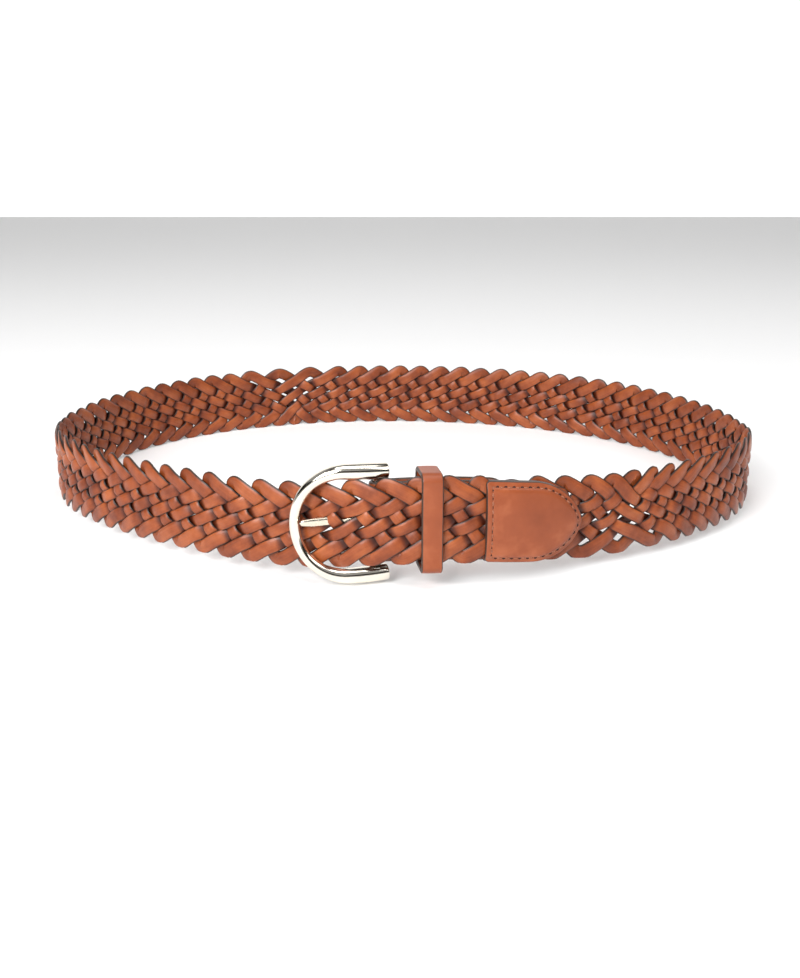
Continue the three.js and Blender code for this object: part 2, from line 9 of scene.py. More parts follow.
import bpy
import numpy as np
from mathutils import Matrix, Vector


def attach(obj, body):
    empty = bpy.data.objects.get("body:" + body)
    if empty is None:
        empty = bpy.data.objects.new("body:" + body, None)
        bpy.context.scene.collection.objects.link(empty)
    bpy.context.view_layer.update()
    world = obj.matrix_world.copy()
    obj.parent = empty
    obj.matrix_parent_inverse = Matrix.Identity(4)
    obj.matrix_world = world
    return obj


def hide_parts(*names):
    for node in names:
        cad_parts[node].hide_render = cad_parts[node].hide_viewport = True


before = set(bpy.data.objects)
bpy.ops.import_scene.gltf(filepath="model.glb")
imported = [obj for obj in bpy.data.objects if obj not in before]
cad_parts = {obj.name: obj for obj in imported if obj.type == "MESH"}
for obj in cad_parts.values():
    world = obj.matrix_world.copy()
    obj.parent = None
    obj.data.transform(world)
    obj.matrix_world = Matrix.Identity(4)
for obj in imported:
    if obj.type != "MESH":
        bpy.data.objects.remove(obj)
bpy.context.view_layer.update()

MM = 0.001

# Loop of the strap's middle line, seen from above
LOOP_HALF_WIDTH = 151.2
LOOP_FRONT_DEPTH = 110.1
LOOP_BACK_DEPTH = 130.3
LOOP_FRONT_PINCH = 0.2115
LOOP_BACK_PINCH = -0.0711
LOOP_SKEW = -4.6
LOOP_SHIFT_X = 0.003
LOOP_SHIFT_Y = -7.754

# Braided strap
STRAP_HEIGHT = 31.4
STRAND_COUNT = 7
STRAND_WIDTH = 4.75
STRAND_THICKNESS = 1.8
BRAID_PITCH = 10.78
LEVEL_STEP = 3.7
TURN_CUT = 1.3
STRAND_SLANT = 0.235
LOBE_LENGTH = 0.68
FREE_END_HEIGHT = 31.8
FREE_END_RISE = 0.9
PATTERN_TURN_FRONT = 83.0
PATTERN_TURN_BACK = -369.0
CLEARANCE = 0.3

# Horseshoe buckle, its bar and its prong
BAR_ALONG = -8.5
BAR_RADIUS = 1.4
ARM_RADIUS = 3.0
ARM_PAST_BAR = 3.7
ARM_STRAIGHT = 14.0
ARM_LEAN = 0.5
ARM_ROOM = 0.55
CROWN_RADIUS = 1.95
BUCKLE_LENGTH = 33.6
FRAME_ROOM = 1.45
FRAME_BOW = 1.1
ARMS_BEFORE_BAR = 1.3
BUCKLE_RAISE = 0.85
PRONG_WIDTH = 3.2
PRONG_THICKNESS = 2.0
PRONG_LOOP_WALL = 1.0
PRONG_RISE = 0.8
PRONG_NOTCH = 1.8

# Leather tab folded round the bar
TAB_THICKNESS = 1.2
TAB_HEIGHT = 29.8
TAB_END = 41.0
TAB_CORNER_RADIUS = 8.0
TAB_CORE = 2.4
TAB_OFFSET = 0.1

# Loose keeper
KEEPER_ALONG = 11.1
KEEPER_WIDTH = 7.6
KEEPER_THICKNESS = 1.7
KEEPER_CORNER_RADIUS = 3.2
KEEPER_ROOM = 0.45
KEEPER_SLACK = 1.2
KEEPER_SLANT = 0.12

# Tip of the free end
TIP_START = 29.5
TIP_LENGTH = 36.5
TIP_HEIGHT = 30.2
TIP_FRONT_THICKNESS = 1.4
TIP_BACK_THICKNESS = 1.0
TIP_STRAIGHT_SHARE = 0.46
TIP_RIM_WIDTH = 3.2
TIP_CORE = 2.0
TIP_DOME = 0.8
NOSE_FULLNESS = 0.62
STITCH_INSET = 2.0
STITCH_SPACING = 2.95

# Height of the strap's middle above its lowest place, by share of half the loop
LIFT_ROWS = [
    (-0.78, 0.0), (-0.61, 0.06), (-0.45, 0.21), (-0.33, 0.4), (-0.21, 0.51),
    (-0.1, 0.56), (0.0, 0.98), (0.05, 1.0), (0.113, 0.74), (0.18, 0.5),
    (0.24, 0.49), (0.33, 0.4), (0.45, 0.21), (0.61, 0.06), (0.78, 0.0),
]
STRAP_ABOVE_BUCKLE = 1.1

# Sizes that follow
TAB_INWARD = TAB_CORE / 2 + CLEARANCE + TAB_THICKNESS + TAB_OFFSET
FREE_END_INWARD = TAB_OFFSET - CLEARANCE - TIP_BACK_THICKNESS - CLEARANCE - TIP_CORE / 2
ARM_REACH = FREE_END_HEIGHT / 2 + ARM_RADIUS + ARM_ROOM
BUCKLE_MIDDLE = ARM_REACH + ARM_RADIUS + BUCKLE_RAISE
BUCKLE_LIFT = BUCKLE_MIDDLE + STRAP_ABOVE_BUCKLE - STRAP_HEIGHT / 2
ARM_END = BAR_ALONG + ARM_PAST_BAR
CROWN_ALONG = ARM_END - BUCKLE_LENGTH + CROWN_RADIUS


def rise(value, start, end):
    """Smooth step from 0 to 1."""
    share = np.clip((value - start) / (end - start), 0.0, 1.0)
    return share * share * (3 - 2 * share)


def mix(a, b, share):
    return a + (b - a) * share


# The loop and the strap on it

def loop_point(turn):
    cos, sin = np.cos(turn), np.sin(turn)
    pinch = np.where(sin < 0, LOOP_FRONT_PINCH, LOOP_BACK_PINCH)
    depth = np.where(sin < 0, LOOP_FRONT_DEPTH, LOOP_BACK_DEPTH)
    x = LOOP_HALF_WIDTH * cos * (1 - pinch * sin * sin)
    return np.stack([x, depth * sin + LOOP_SKEW * cos], axis=-1)


LOOP_TURNS = np.linspace(-math.pi / 2, 1.5 * math.pi, 1441)
LOOP_ALONG = np.concatenate([[0.0], np.cumsum(
    np.linalg.norm(np.diff(loop_point(LOOP_TURNS), axis=0), axis=1))])
LOOP_LENGTH = LOOP_ALONG[-1]


def place(along, inward, up):
    """Points in the frame's own millimetres."""
    along, inward, up = np.broadcast_arrays(
        np.asarray(along, float), np.asarray(inward, float), np.asarray(up, float))
    turn = np.interp(np.mod(along, LOOP_LENGTH), LOOP_ALONG, LOOP_TURNS)
    heading = loop_point(turn + 0.01) - loop_point(turn - 0.01)
    heading /= np.linalg.norm(heading, axis=-1, keepdims=True)
    point = loop_point(turn)
    return np.stack([
        point[..., 0] - heading[..., 1] * inward + LOOP_SHIFT_X,
        point[..., 1] + heading[..., 0] * inward + LOOP_SHIFT_Y,
        up,
    ], axis=-1)


def lift_curve():
    shares = np.array([row[0] for row in LIFT_ROWS])
    lifts = np.array([row[1] for row in LIFT_ROWS])
    fine, values = [], []
    for row in range(len(shares) - 1):
        before, after = max(row - 1, 0), min(row + 2, len(shares) - 1)
        span = shares[row + 1] - shares[row]
        leave = (lifts[row + 1] - lifts[before]) / (shares[row + 1] - shares[before]) * span
        arrive = (lifts[after] - lifts[row]) / (shares[after] - shares[row]) * span
        t = np.linspace(0, 1, 40, endpoint=False)
        fine.append(shares[row] + t * span)
        values.append((2 * t**3 - 3 * t**2 + 1) * lifts[row] + (t**3 - 2 * t**2 + t) * leave
                      + (3 * t**2 - 2 * t**3) * lifts[row + 1] + (t**3 - t**2) * arrive)
    return np.concatenate(fine), np.concatenate(values)


LIFT_SHARES, LIFT_VALUES = lift_curve()


def loop_middle(along):
    half = LOOP_LENGTH / 2
    share = (np.mod(along + half, LOOP_LENGTH) - half) / half
    lift = np.interp(share, LIFT_SHARES, LIFT_VALUES, left=0.0, right=0.0)
    return STRAP_HEIGHT / 2 + BUCKLE_LIFT * lift


def strap_middle(along):
    return loop_middle(along) + FREE_END_RISE * rise(along, -45, -5)


STRAP_FROM = 1.5 - LOOP_LENGTH
STRAP_TO = TIP_START + TIP_LENGTH - 8


def strap_inward(along):
    free = FREE_END_INWARD * rise(along, -45, -2)
    tab = TAB_INWARD * (1 - rise(along + LOOP_LENGTH, TAB_END + 4, 115))
    return free + tab


def strap_press(along):
    full = 2 * STRAND_THICKNESS
    in_tip = rise(along, TIP_START - 0.7 * BRAID_PITCH, TIP_START)
    in_tab = 1 - rise(along + LOOP_LENGTH, TAB_END, TAB_END + 0.7 * BRAID_PITCH)
    return 1 - in_tip * (1 - TIP_CORE / full) - in_tab * (1 - TAB_CORE / full)


def strap_draw(along):
    drawn = rise(along, -55, -25)
    in_tab = 1 - rise(along + LOOP_LENGTH, TAB_END - 1, TAB_END + 8)
    draw = 1 - drawn * (1 - FREE_END_HEIGHT / STRAP_HEIGHT)
    draw -= in_tab * (1 - (TAB_HEIGHT - 1) / STRAP_HEIGHT)
    in_tip = rise(along, TIP_START - 1, TIP_START + 6)
    return draw * (1 - in_tip * 0.22)


def strap_point(along, out, up):
    return place(along, strap_inward(along) - out * strap_press(along),
                 strap_middle(along) + up * strap_draw(along))


# Meshes

def mesh_piece(name, points, faces, material, nodes, sharp=40, laps=None):
    """Makes an object from points in millimetres and rides it on the belt."""
    mesh = bpy.data.meshes.new(name)
    mesh.from_pydata((np.asarray(points) * MM).tolist(), [], faces)
    mesh.validate()
    mesh.shade_smooth()
    mesh.set_sharp_from_angle(angle=math.radians(sharp))
    if laps is not None:
        layer = mesh.uv_layers.new(name="lace")
        corner = np.empty(len(mesh.loops), dtype=np.int32)
        mesh.loops.foreach_get("vertex_index", corner)
        layer.data.foreach_set("uv", np.asarray(laps, dtype=np.float32)[corner].ravel())
    piece = bpy.data.objects.new(name, mesh)
    bpy.context.scene.collection.objects.link(piece)
    mesh.materials.append(material)
    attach(piece, "root")
    if nodes:
        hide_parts(*nodes)
    return piece


def tube_faces(rings, sides, closed=False, start=0, caps=True):
    """Quads over rings of points, with a flat face at each end of an open tube."""
    faces = []
    last = rings if closed else rings - 1
    for ring in range(last):
        low = start + ring * sides
        high = start + ((ring + 1) % rings) * sides
        for side in range(sides):
            after = (side + 1) % sides
            faces.append((low + side, low + after, high + after, high + side))
    if caps and not closed:
        faces.append(tuple(start + side for side in reversed(range(sides))))
        faces.append(tuple(start + (rings - 1) * sides + side for side in range(sides)))
    return faces


def round_rings(centres, radii, sides, up=(0.0, 1.0, 0.0)):
    """Circles of points square to a path."""
    centres = np.asarray(centres, float)
    forward = np.gradient(centres, axis=0)
    forward /= np.linalg.norm(forward, axis=1, keepdims=True)
    across = np.cross(np.asarray(up, float), forward)
    across /= np.linalg.norm(across, axis=1, keepdims=True)
    outward = np.cross(forward, across)
    turn = np.linspace(0, 2 * math.pi, sides, endpoint=False)
    radii = np.broadcast_to(radii, (len(centres),))[:, None, None]
    return (centres[:, None] + radii * (across[:, None] * np.cos(turn)[None, :, None]
                                        + outward[:, None] * np.sin(turn)[None, :, None]))


# Materials

def new_material(name):
    material = bpy.data.materials.new(name)
    material.use_nodes = True
    nodes = material.node_tree.nodes
    return material, nodes, material.node_tree.links, nodes["Principled BSDF"]


def put(nodes, kind, **values):
    node = nodes.new(kind)
    for key, value in values.items():
        if key in node.inputs.keys():
            node.inputs[key].default_value = value
        else:
            setattr(node, key, value)
    return node


def ramp(nodes, stops):
    node = nodes.new("ShaderNodeValToRGB")
    elements = node.color_ramp.elements
    while len(elements) < len(stops):
        elements.new(0.5)
    for element, (place_at, color) in zip(elements, stops):
        element.position = place_at
        element.color = color if len(color) == 4 else (*color, 1.0)
    return node


def mixed(nodes, links, kind, factor, a, b):
    node = nodes.new("ShaderNodeMix")
    node.data_type = "RGBA"
    node.blend_type = kind
    for socket, value in ((0, factor), (6, a), (7, b)):
        if isinstance(value, bpy.types.NodeSocket):
            links.new(value, node.inputs[socket])
        else:
            node.inputs[socket].default_value = value
    return node.outputs[2]


def group_socket(group, name, way, kind, value=None):
    socket = group.interface.new_socket(name=name, in_out=way, socket_type=kind)
    if value is not None:
        socket.default_value = value
    return socket


def leather_grain_group():
    """Pores and creases of leather: a height for bump and a mottling mask."""
    group = bpy.data.node_groups.new("leather_grain", "ShaderNodeTree")
    group_socket(group, "Position", "INPUT", "NodeSocketVector")
    group_socket(group, "Pore size", "INPUT", "NodeSocketFloat", 0.0009)
    group_socket(group, "Mottle size", "INPUT", "NodeSocketFloat", 0.012)
    group_socket(group, "Height", "OUTPUT", "NodeSocketFloat")
    group_socket(group, "Mottle", "OUTPUT", "NodeSocketFloat")
    nodes, links = group.nodes, group.links
    inside, outside = nodes.new("NodeGroupInput"), nodes.new("NodeGroupOutput")
    pore_scale = put(nodes, "ShaderNodeMath", operation="DIVIDE")
    pore_scale.inputs[0].default_value = 1.0
    links.new(inside.outputs["Pore size"], pore_scale.inputs[1])
    mottle_scale = put(nodes, "ShaderNodeMath", operation="DIVIDE")
    mottle_scale.inputs[0].default_value = 1.0
    links.new(inside.outputs["Mottle size"], mottle_scale.inputs[1])
    pores = put(nodes, "ShaderNodeTexVoronoi", feature="DISTANCE_TO_EDGE")
    crease = put(nodes, "ShaderNodeTexNoise", Detail=5.0, Roughness=0.6)
    mottle = put(nodes, "ShaderNodeTexNoise", Detail=4.0, Roughness=0.55)
    for texture, scale in ((pores, pore_scale), (crease, pore_scale), (mottle, mottle_scale)):
        links.new(inside.outputs["Position"], texture.inputs["Vector"])
        links.new(scale.outputs[0], texture.inputs["Scale"])
    cells = put(nodes, "ShaderNodeMath", operation="MINIMUM")
    cells.inputs[1].default_value = 0.22
    links.new(pores.outputs["Distance"], cells.inputs[0])
    total = put(nodes, "ShaderNodeMath", operation="MULTIPLY_ADD")
    total.inputs[1].default_value = 0.5
    links.new(crease.outputs[0], total.inputs[0])
    links.new(cells.outputs[0], total.inputs[2])
    links.new(total.outputs[0], outside.inputs["Height"])
    links.new(mottle.outputs[0], outside.inputs["Mottle"])
    return group


GRAIN = leather_grain_group()


def add_grain(nodes, links, shader, pore, mottle_size, strength):
    """Places the grain group, bumps the shader and returns the mottling mask."""
    where = nodes.new("ShaderNodeTexCoord")
    grain = nodes.new("ShaderNodeGroup")
    grain.node_tree = GRAIN
    grain.inputs["Pore size"].default_value = pore
    grain.inputs["Mottle size"].default_value = mottle_size
    links.new(where.outputs["Object"], grain.inputs["Position"])
    bump = put(nodes, "ShaderNodeBump", Strength=strength, Distance=0.0002)
    links.new(grain.outputs["Height"], bump.inputs["Height"])
    links.new(bump.outputs[0], shader.inputs["Normal"])
    return grain.outputs["Mottle"], where.outputs["Object"]


def lace_leather():
    """Strands: cognac faces, dark dyed edges, lighter streaks along the lace, and painted shade where a
    strand passes under another.
    """
    material, nodes, links, shader = new_material("braid_leather")
    mottle, _ = add_grain(nodes, links, shader, 0.0008, 0.011, 0.35)
    tone = ramp(nodes, [(0.3, (0.15, 0.028, 0.007)), (0.5, (0.27, 0.06, 0.015)),
                        (0.72, (0.4, 0.108, 0.032))])
    links.new(mottle, tone.inputs[0])
    lace = put(nodes, "ShaderNodeUVMap", uv_map="lace")
    split = nodes.new("ShaderNodeSeparateXYZ")
    links.new(lace.outputs[0], split.inputs[0])
    stretch = put(nodes, "ShaderNodeMapping")
    stretch.inputs["Scale"].default_value = (9.0, 3.0, 1.0)
    links.new(lace.outputs[0], stretch.inputs["Vector"])
    streaks = put(nodes, "ShaderNodeTexNoise", Scale=1.0, Detail=3.0, Roughness=0.6)
    links.new(stretch.outputs[0], streaks.inputs["Vector"])
    streak_tone = ramp(nodes, [(0.35, (0.84, 0.8, 0.76)), (0.7, (1.08, 1.06, 1.04))])
    links.new(streaks.outputs[0], streak_tone.inputs[0])
    face = mixed(nodes, links, "MULTIPLY", 0.8, tone.outputs[0], streak_tone.outputs[0])
    # Distance from the middle of the lace, 0 in the middle and 1 at the cut edge
    middle = put(nodes, "ShaderNodeMath", operation="SUBTRACT")
    middle.inputs[1].default_value = 0.5
    links.new(split.outputs["X"], middle.inputs[0])
    away = put(nodes, "ShaderNodeMath", operation="ABSOLUTE")
    links.new(middle.outputs[0], away.inputs[0])
    edge = ramp(nodes, [(0.40, (0, 0, 0)), (0.475, (1, 1, 1))])
    links.new(away.outputs[0], edge.inputs[0])
    # Painted shade: the leather is darkened where a strand goes under the next one
    painted_dive_shade = put(nodes, "ShaderNodeAttribute", attribute_name="painted_dive_shade")
    painted_shade_ramp = ramp(nodes, [(0.0, (1.0, 1.0, 1.0)), (0.5, (0.6, 0.52, 0.46)), (1.0, (0.2, 0.14, 0.12))])
    links.new(painted_dive_shade.outputs["Fac"], painted_shade_ramp.inputs[0])
    face = mixed(nodes, links, "MULTIPLY", 1.0, face, painted_shade_ramp.outputs[0])
    color = mixed(nodes, links, "MIX", edge.outputs[0], face, (0.018, 0.009, 0.006, 1.0))
    links.new(color, shader.inputs["Base Color"])
    rough = ramp(nodes, [(0.3, (0.46, 0.46, 0.46)), (0.7, (0.34, 0.34, 0.34))])
    links.new(mottle, rough.inputs[0])
    links.new(rough.outputs[0], shader.inputs["Roughness"])
    shader.inputs["Specular IOR Level"].default_value = 0.4
    return material


def smooth_leather(name, dark=1.0):
    """Tip, keeper and tab: smooth calf with a darker painted edge."""
    material, nodes, links, shader = new_material(name)
    mottle, _ = add_grain(nodes, links, shader, 0.0006, 0.02, 0.22)
    tone = ramp(nodes, [(0.3, (0.21 * dark, 0.044 * dark, 0.012 * dark)),
                        (0.52, (0.27 * dark, 0.061 * dark, 0.018 * dark)),
                        (0.75, (0.45 * dark, 0.13 * dark, 0.05 * dark))])
    links.new(mottle, tone.inputs[0])
    lace = put(nodes, "ShaderNodeUVMap", uv_map="lace")
    split = nodes.new("ShaderNodeSeparateXYZ")
    links.new(lace.outputs[0], split.inputs[0])
    edge = ramp(nodes, [(0.35, (0, 0, 0)), (0.75, (1, 1, 1))])
    links.new(split.outputs["X"], edge.inputs[0])
    color = mixed(nodes, links, "MIX", edge.outputs[0], tone.outputs[0], (0.045, 0.025, 0.018, 1.0))
    links.new(color, shader.inputs["Base Color"])
    rough = ramp(nodes, [(0.3, (0.42, 0.42, 0.42)), (0.7, (0.33, 0.33, 0.33))])
    links.new(mottle, rough.inputs[0])
    links.new(rough.outputs[0], shader.inputs["Roughness"])
    shader.inputs["Specular IOR Level"].default_value = 0.4
    return material


def polished_metal(name, tone, rough_low, rough_high):
    """Pale gold plating with fine rubbing marks."""
    material, nodes, links, shader = new_material(name)
    where = nodes.new("ShaderNodeTexCoord")
    rub = put(nodes, "ShaderNodeTexNoise", Scale=420.0, Detail=5.0, Roughness=0.65)
    links.new(where.outputs["Object"], rub.inputs["Vector"])
    cloud = put(nodes, "ShaderNodeTexNoise", Scale=70.0, Detail=3.0)
    links.new(where.outputs["Object"], cloud.inputs["Vector"])
    rough = ramp(nodes, [(0.3, (rough_low,) * 3), (0.75, (rough_high,) * 3)])
    links.new(rub.outputs[0], rough.inputs[0])
    links.new(rough.outputs[0], shader.inputs["Roughness"])
    warm = ramp(nodes, [(0.35, tuple(c * 0.93 for c in tone)), (0.65, tone)])
    links.new(cloud.outputs[0], warm.inputs[0])
    links.new(warm.outputs[0], shader.inputs["Base Color"])
    bump = put(nodes, "ShaderNodeBump", Strength=0.04, Distance=0.0001)
    links.new(rub.outputs[0], bump.inputs["Height"])
    links.new(bump.outputs[0], shader.inputs["Normal"])
    shader.inputs["Metallic"].default_value = 1.0
    return material


def waxed_thread():
    material, nodes, links, shader = new_material("stitch_thread")
    where = nodes.new("ShaderNodeTexCoord")
    fibre = put(nodes, "ShaderNodeTexNoise", Scale=2600.0, Detail=2.0)
    links.new(where.outputs["Object"], fibre.inputs["Vector"])
    tone = ramp(nodes, [(0.35, (0.2, 0.058, 0.026)), (0.7, (0.38, 0.15, 0.08))])
    links.new(fibre.outputs[0], tone.inputs[0])
    links.new(tone.outputs[0], shader.inputs["Base Color"])
    bump = put(nodes, "ShaderNodeBump", Strength=0.5, Distance=0.0001)
    links.new(fibre.outputs[0], bump.inputs["Height"])
    links.new(bump.outputs[0], shader.inputs["Normal"])
    shader.inputs["Roughness"].default_value = 0.7
    return material


# Near-black material that paints the shade inside the stitch holes
def hole_shade():
    material, nodes, links, shader = new_material("stitch_hole_shade")
    where = nodes.new("ShaderNodeTexCoord")
    fibre = put(nodes, "ShaderNodeTexNoise", Scale=1800.0, Detail=2.0)
    links.new(where.outputs["Object"], fibre.inputs["Vector"])
    tone = ramp(nodes, [(0.3, (0.02, 0.006, 0.004)), (0.7, (0.06, 0.015, 0.008))])
    links.new(fibre.outputs[0], tone.inputs[0])
    links.new(tone.outputs[0], shader.inputs["Base Color"])
    shader.inputs["Roughness"].default_value = 0.9
    return material


LACE = lace_leather()
CALF = smooth_leather("tab_leather")
GOLD = polished_metal("pale_gold", (0.86, 0.81, 0.71), 0.09, 0.16)
PRONG_GOLD = polished_metal("prong_gold", (0.80, 0.73, 0.60), 0.2, 0.32)
THREAD = waxed_thread()
HOLE_SHADE = hole_shade()


# Braided strap

HALF_PITCH = BRAID_PITCH / 2
TURN_RISE = (STRAP_HEIGHT - STRAND_WIDTH) / 2 + TURN_CUT - LEVEL_STEP * STRAND_COUNT / 2
OVER_FLAT, OVER_STEEP = 1.1, 0.8
TURN_HOLD = 0.25
RING_SPACING = 0.7
EDGE_SPREAD = 0.45
BEND_SOFTNESS, TURN_SOFTNESS = 1.2, 2
ROLL_ARM = 1.4
# Where the strands open round the prong, how far, and how long and high the opening is
PRONG_GAP_ALONG, PRONG_GAP = -21, 0.9
PRONG_GAP_LENGTH, PRONG_GAP_HEIGHT = 6, 5
# Share of a pitch that the pattern has moved to the right, by place along the strap
PATTERN_MOVES = [
    (-780, 0.35), (-756, 0.45), (-742, 0.2), (-713, -0.1), (-600, -0.35), (-535, -0.44),
    (-445, -0.07), (-345, 0.48), (-294, 0.25), (-158, 0.1), (-118, -0.14), (-87, -0.26),
    (-43, -0.26), (-12, 0.09), (30, 0.07),
]
MOVE_ALONG = [row[0] for row in PATTERN_MOVES]
MOVE_SHARE = [row[1] for row in PATTERN_MOVES]
# Corners of a strand's section: across in half widths, out in half thicknesses
STRAND_SECTION = [
    (-0.84, 0.66), (-0.45, 0.93), (0.0, 1.0), (0.45, 0.93), (0.84, 0.66),
    (1.0, 0.22), (1.0, -0.22),
    (0.84, -0.66), (0.45, -0.93), (0.0, -1.0), (-0.45, -0.93), (-0.84, -0.66),
    (-1.0, -0.22), (-1.0, 0.22),
]


def pattern_hand(along):
    """1 where the flat strands rise to the right, -1 in the mirrored part of the braid."""
    front = PATTERN_TURN_FRONT - LOOP_LENGTH
    reach = 2 * BRAID_PITCH
    return (1 - 2 * rise(along, front - reach, front + reach)
            + 2 * rise(along, PATTERN_TURN_BACK - reach, PATTERN_TURN_BACK + reach))


def outside_share(along):
    """1 on the front and the sides, where the long lobes are at the top edge, 0 behind."""
    return 1 - rise(along, -660, -620) + rise(along, -225, -185)


def strand_line(steps, nominal):
    """Places and heights of a strand's middle, step 0 at a top turn."""
    level = np.abs(np.mod(steps + STRAND_COUNT, 2 * STRAND_COUNT) - STRAND_COUNT)
    top, bottom = np.clip(1 - level, 0, 1), np.clip(level - STRAND_COUNT + 1, 0, 1)
    height = LEVEL_STEP * (STRAND_COUNT / 2 - level) + TURN_RISE * (top - bottom)
    lean = STRAND_SLANT * (STRAND_COUNT / 2 - level)
    lean += LOBE_LENGTH * (bottom - (top + bottom) * outside_share(nominal))
    lean = pattern_hand(nominal) * lean + np.interp(nominal, MOVE_ALONG, MOVE_SHARE)
    lean *= rise(nominal, STRAP_FROM, STRAP_FROM + 20) * (1 - rise(nominal, STRAP_TO - 20, STRAP_TO))
    # The strands open round the prong
    beside = np.exp(-((nominal - PRONG_GAP_ALONG) / PRONG_GAP_LENGTH) ** 2
                    - (height / PRONG_GAP_HEIGHT) ** 2)
    return nominal + BRAID_PITCH * lean, height + PRONG_GAP * beside * np.tanh(height)


def crossing_side(step, along):
    """1 where the strand passes in front at a crossing, -1 behind, 0 at a turn."""
    phase = int(step) % (2 * STRAND_COUNT)
    if phase in (0, STRAND_COUNT):
        return 0
    side = -1 if phase % 2 == 0 else 1
    if phase > STRAND_COUNT:
        side = -side
    mirrored = PATTERN_TURN_FRONT - LOOP_LENGTH < along < PATTERN_TURN_BACK
    return -side if mirrored else side


def lobe_share(step, along):
    """1 at the turns that make the long lobes, 0 at crossings and at the other turns."""
    phase = int(step) % (2 * STRAND_COUNT)
    if phase == 0:
        return float(outside_share(along))
    return 1 - float(outside_share(along)) if phase == STRAND_COUNT else 0.0


def softened(values, spread):
    """Rounds the bends of an evenly spaced line."""
    reach = math.ceil(3 * spread)
    weights = np.exp(-0.5 * (np.arange(-reach, reach + 1) / spread) ** 2)
    ends = [2 * values[0] - values[reach:0:-1], values, 2 * values[-1] - values[-2:-reach - 2:-1]]
    return np.convolve(np.concatenate(ends), weights / weights.sum(), mode="valid")


def braid_strand(number):
    """One lace of the braid, from inside the tab round the loop to inside the tip."""
    top_turn = STRAP_FROM + BRAID_PITCH * (1 + number)
    first = math.floor((STRAP_FROM - top_turn) / HALF_PITCH) - 4
    last = math.ceil((STRAP_TO - top_turn) / HALF_PITCH) + 4
    fine = 24
    steps = first + np.arange((last - first) * fine + 1) / fine
    nominal = top_turn + steps * HALF_PITCH
    rough_along, rough_up = strand_line(steps, nominal)
    rough_walk = np.concatenate([[0], np.cumsum(np.hypot(np.diff(rough_along), np.diff(rough_up)))])
    walk = np.arange(0, rough_walk[-1], RING_SPACING)
    # The turns at the edges are rounder than the bends between crossings
    walked_level = np.interp(walk, rough_walk, np.abs(rough_up)) / LEVEL_STEP
    turning = rise(walked_level, 2.2, 3.2)
    plain_along = np.interp(walk, rough_walk, rough_along)
    plain_up = np.interp(walk, rough_walk, rough_up)
    along, up = [mix(softened(line, BEND_SOFTNESS / RING_SPACING),
                     softened(line, TURN_SOFTNESS / RING_SPACING), turning)
                 for line in (plain_along, plain_up)]
    # Side of the braid at each crossing, passed smoothly from one to the next
    sides = np.array([crossing_side(step, top_turn + step * HALF_PITCH)
                      for step in range(first, last + 1)])
    # A strand stays behind its neighbour until it has passed the turn of a long lobe
    hold = np.array([TURN_HOLD * lobe_share(step, top_turn + step * HALF_PITCH)
                     for step in range(first, last + 1)])
    crossings = rough_walk[::fine]
    here = np.clip(np.searchsorted(crossings, walk, side="right") - 1, 0, len(sides) - 2)
    share = (walk - crossings[here]) / (crossings[here + 1] - crossings[here])
    before, after = sides[here], sides[here + 1]
    side = mix(before, after, (1 - np.cos(math.pi * share)) / 2)
    leave, arrive = hold[here], hold[here + 1]
    side = np.where(before == 0, after * ((1 + leave) * np.sin(math.pi / 2 * share) - leave), side)
    side = np.where(after == 0, before * ((1 - arrive) * np.cos(math.pi / 2 * share) + arrive), side)
    side = np.sign(side) * np.abs(side) ** 0.9
    forward, climb = np.gradient(along, walk), np.gradient(up, walk)
    flatness = np.clip((np.abs(forward) - 0.6) / 0.3, 0, 1)
    drift = np.random.default_rng(40 + number)
    sway = sum(0.06 * np.sin(walk / 3.5 * rate + phase) for rate, phase in zip(
        drift.uniform(0.3, 1.9, 4), drift.uniform(0, 6.28, 4)))
    roll = sum(0.08 * np.sin(walk / 3.5 * rate + phase) for rate, phase in zip(
        drift.uniform(0.3, 1.7, 3), drift.uniform(0, 6.28, 3)))
    length = np.hypot(forward, climb)
    forward, climb = forward / length, climb / length
    bend = np.gradient(np.unwrap(np.arctan2(climb, forward)), walk)
    keep = (along > STRAP_FROM) & (along < STRAP_TO)
    across = np.array([corner[0] for corner in STRAND_SECTION])
    out = np.array([corner[1] for corner in STRAND_SECTION])
    reach = across[None, :] * (STRAND_WIDTH / 2 + EDGE_SPREAD * rise(walked_level, 1.2, 2.2)[:, None])
    # The inside of a bend gathers instead of folding over itself
    room = 0.8 / np.maximum(np.abs(bend), 1e-6)[:, None]
    reach = np.where(reach * bend[:, None] > 0, np.clip(reach, -room, room), reach)
    height = (side * mix(OVER_STEEP, OVER_FLAT, flatness))[:, None] + out * STRAND_THICKNESS / 2
    height = height + roll[:, None] * across * ROLL_ARM
    ring_along = along[:, None] - climb[:, None] * reach
    # The lower edges lie flat on the floor
    ring_up = np.maximum((up + sway)[:, None] + forward[:, None] * reach, -STRAP_HEIGHT / 2)
    points = strap_point(ring_along[keep], height[keep], ring_up[keep])
    laps = np.stack(np.broadcast_arrays((across[None, :] + 1) / 2,
                                        walk[keep][:, None] / 100 + 17.3 * number), axis=-1)
    # Painted shade on the faces that lie against or behind the crossing strand, weaker at the turns
    painted_dive_shade = rise(-side[keep][:, None] * np.sign(out), -0.45, 0.5) * (1 - 0.8 * turning[keep][:, None])
    faces = tube_faces(len(points), len(across))
    strand = mesh_piece(f"braid_strand_{number + 1}", points.reshape(-1, 3), faces, LACE,
                        ["braided_strap"], laps=laps.reshape(-1, 2))
    # Carries the painted shade to the leather material
    shade = strand.data.attributes.new("painted_dive_shade", "FLOAT", "POINT")
    shade.data.foreach_set("value", painted_dive_shade.astype(np.float32).ravel())
    return strand


for number in range(STRAND_COUNT):
    braid_strand(number)


# Horseshoe buckle

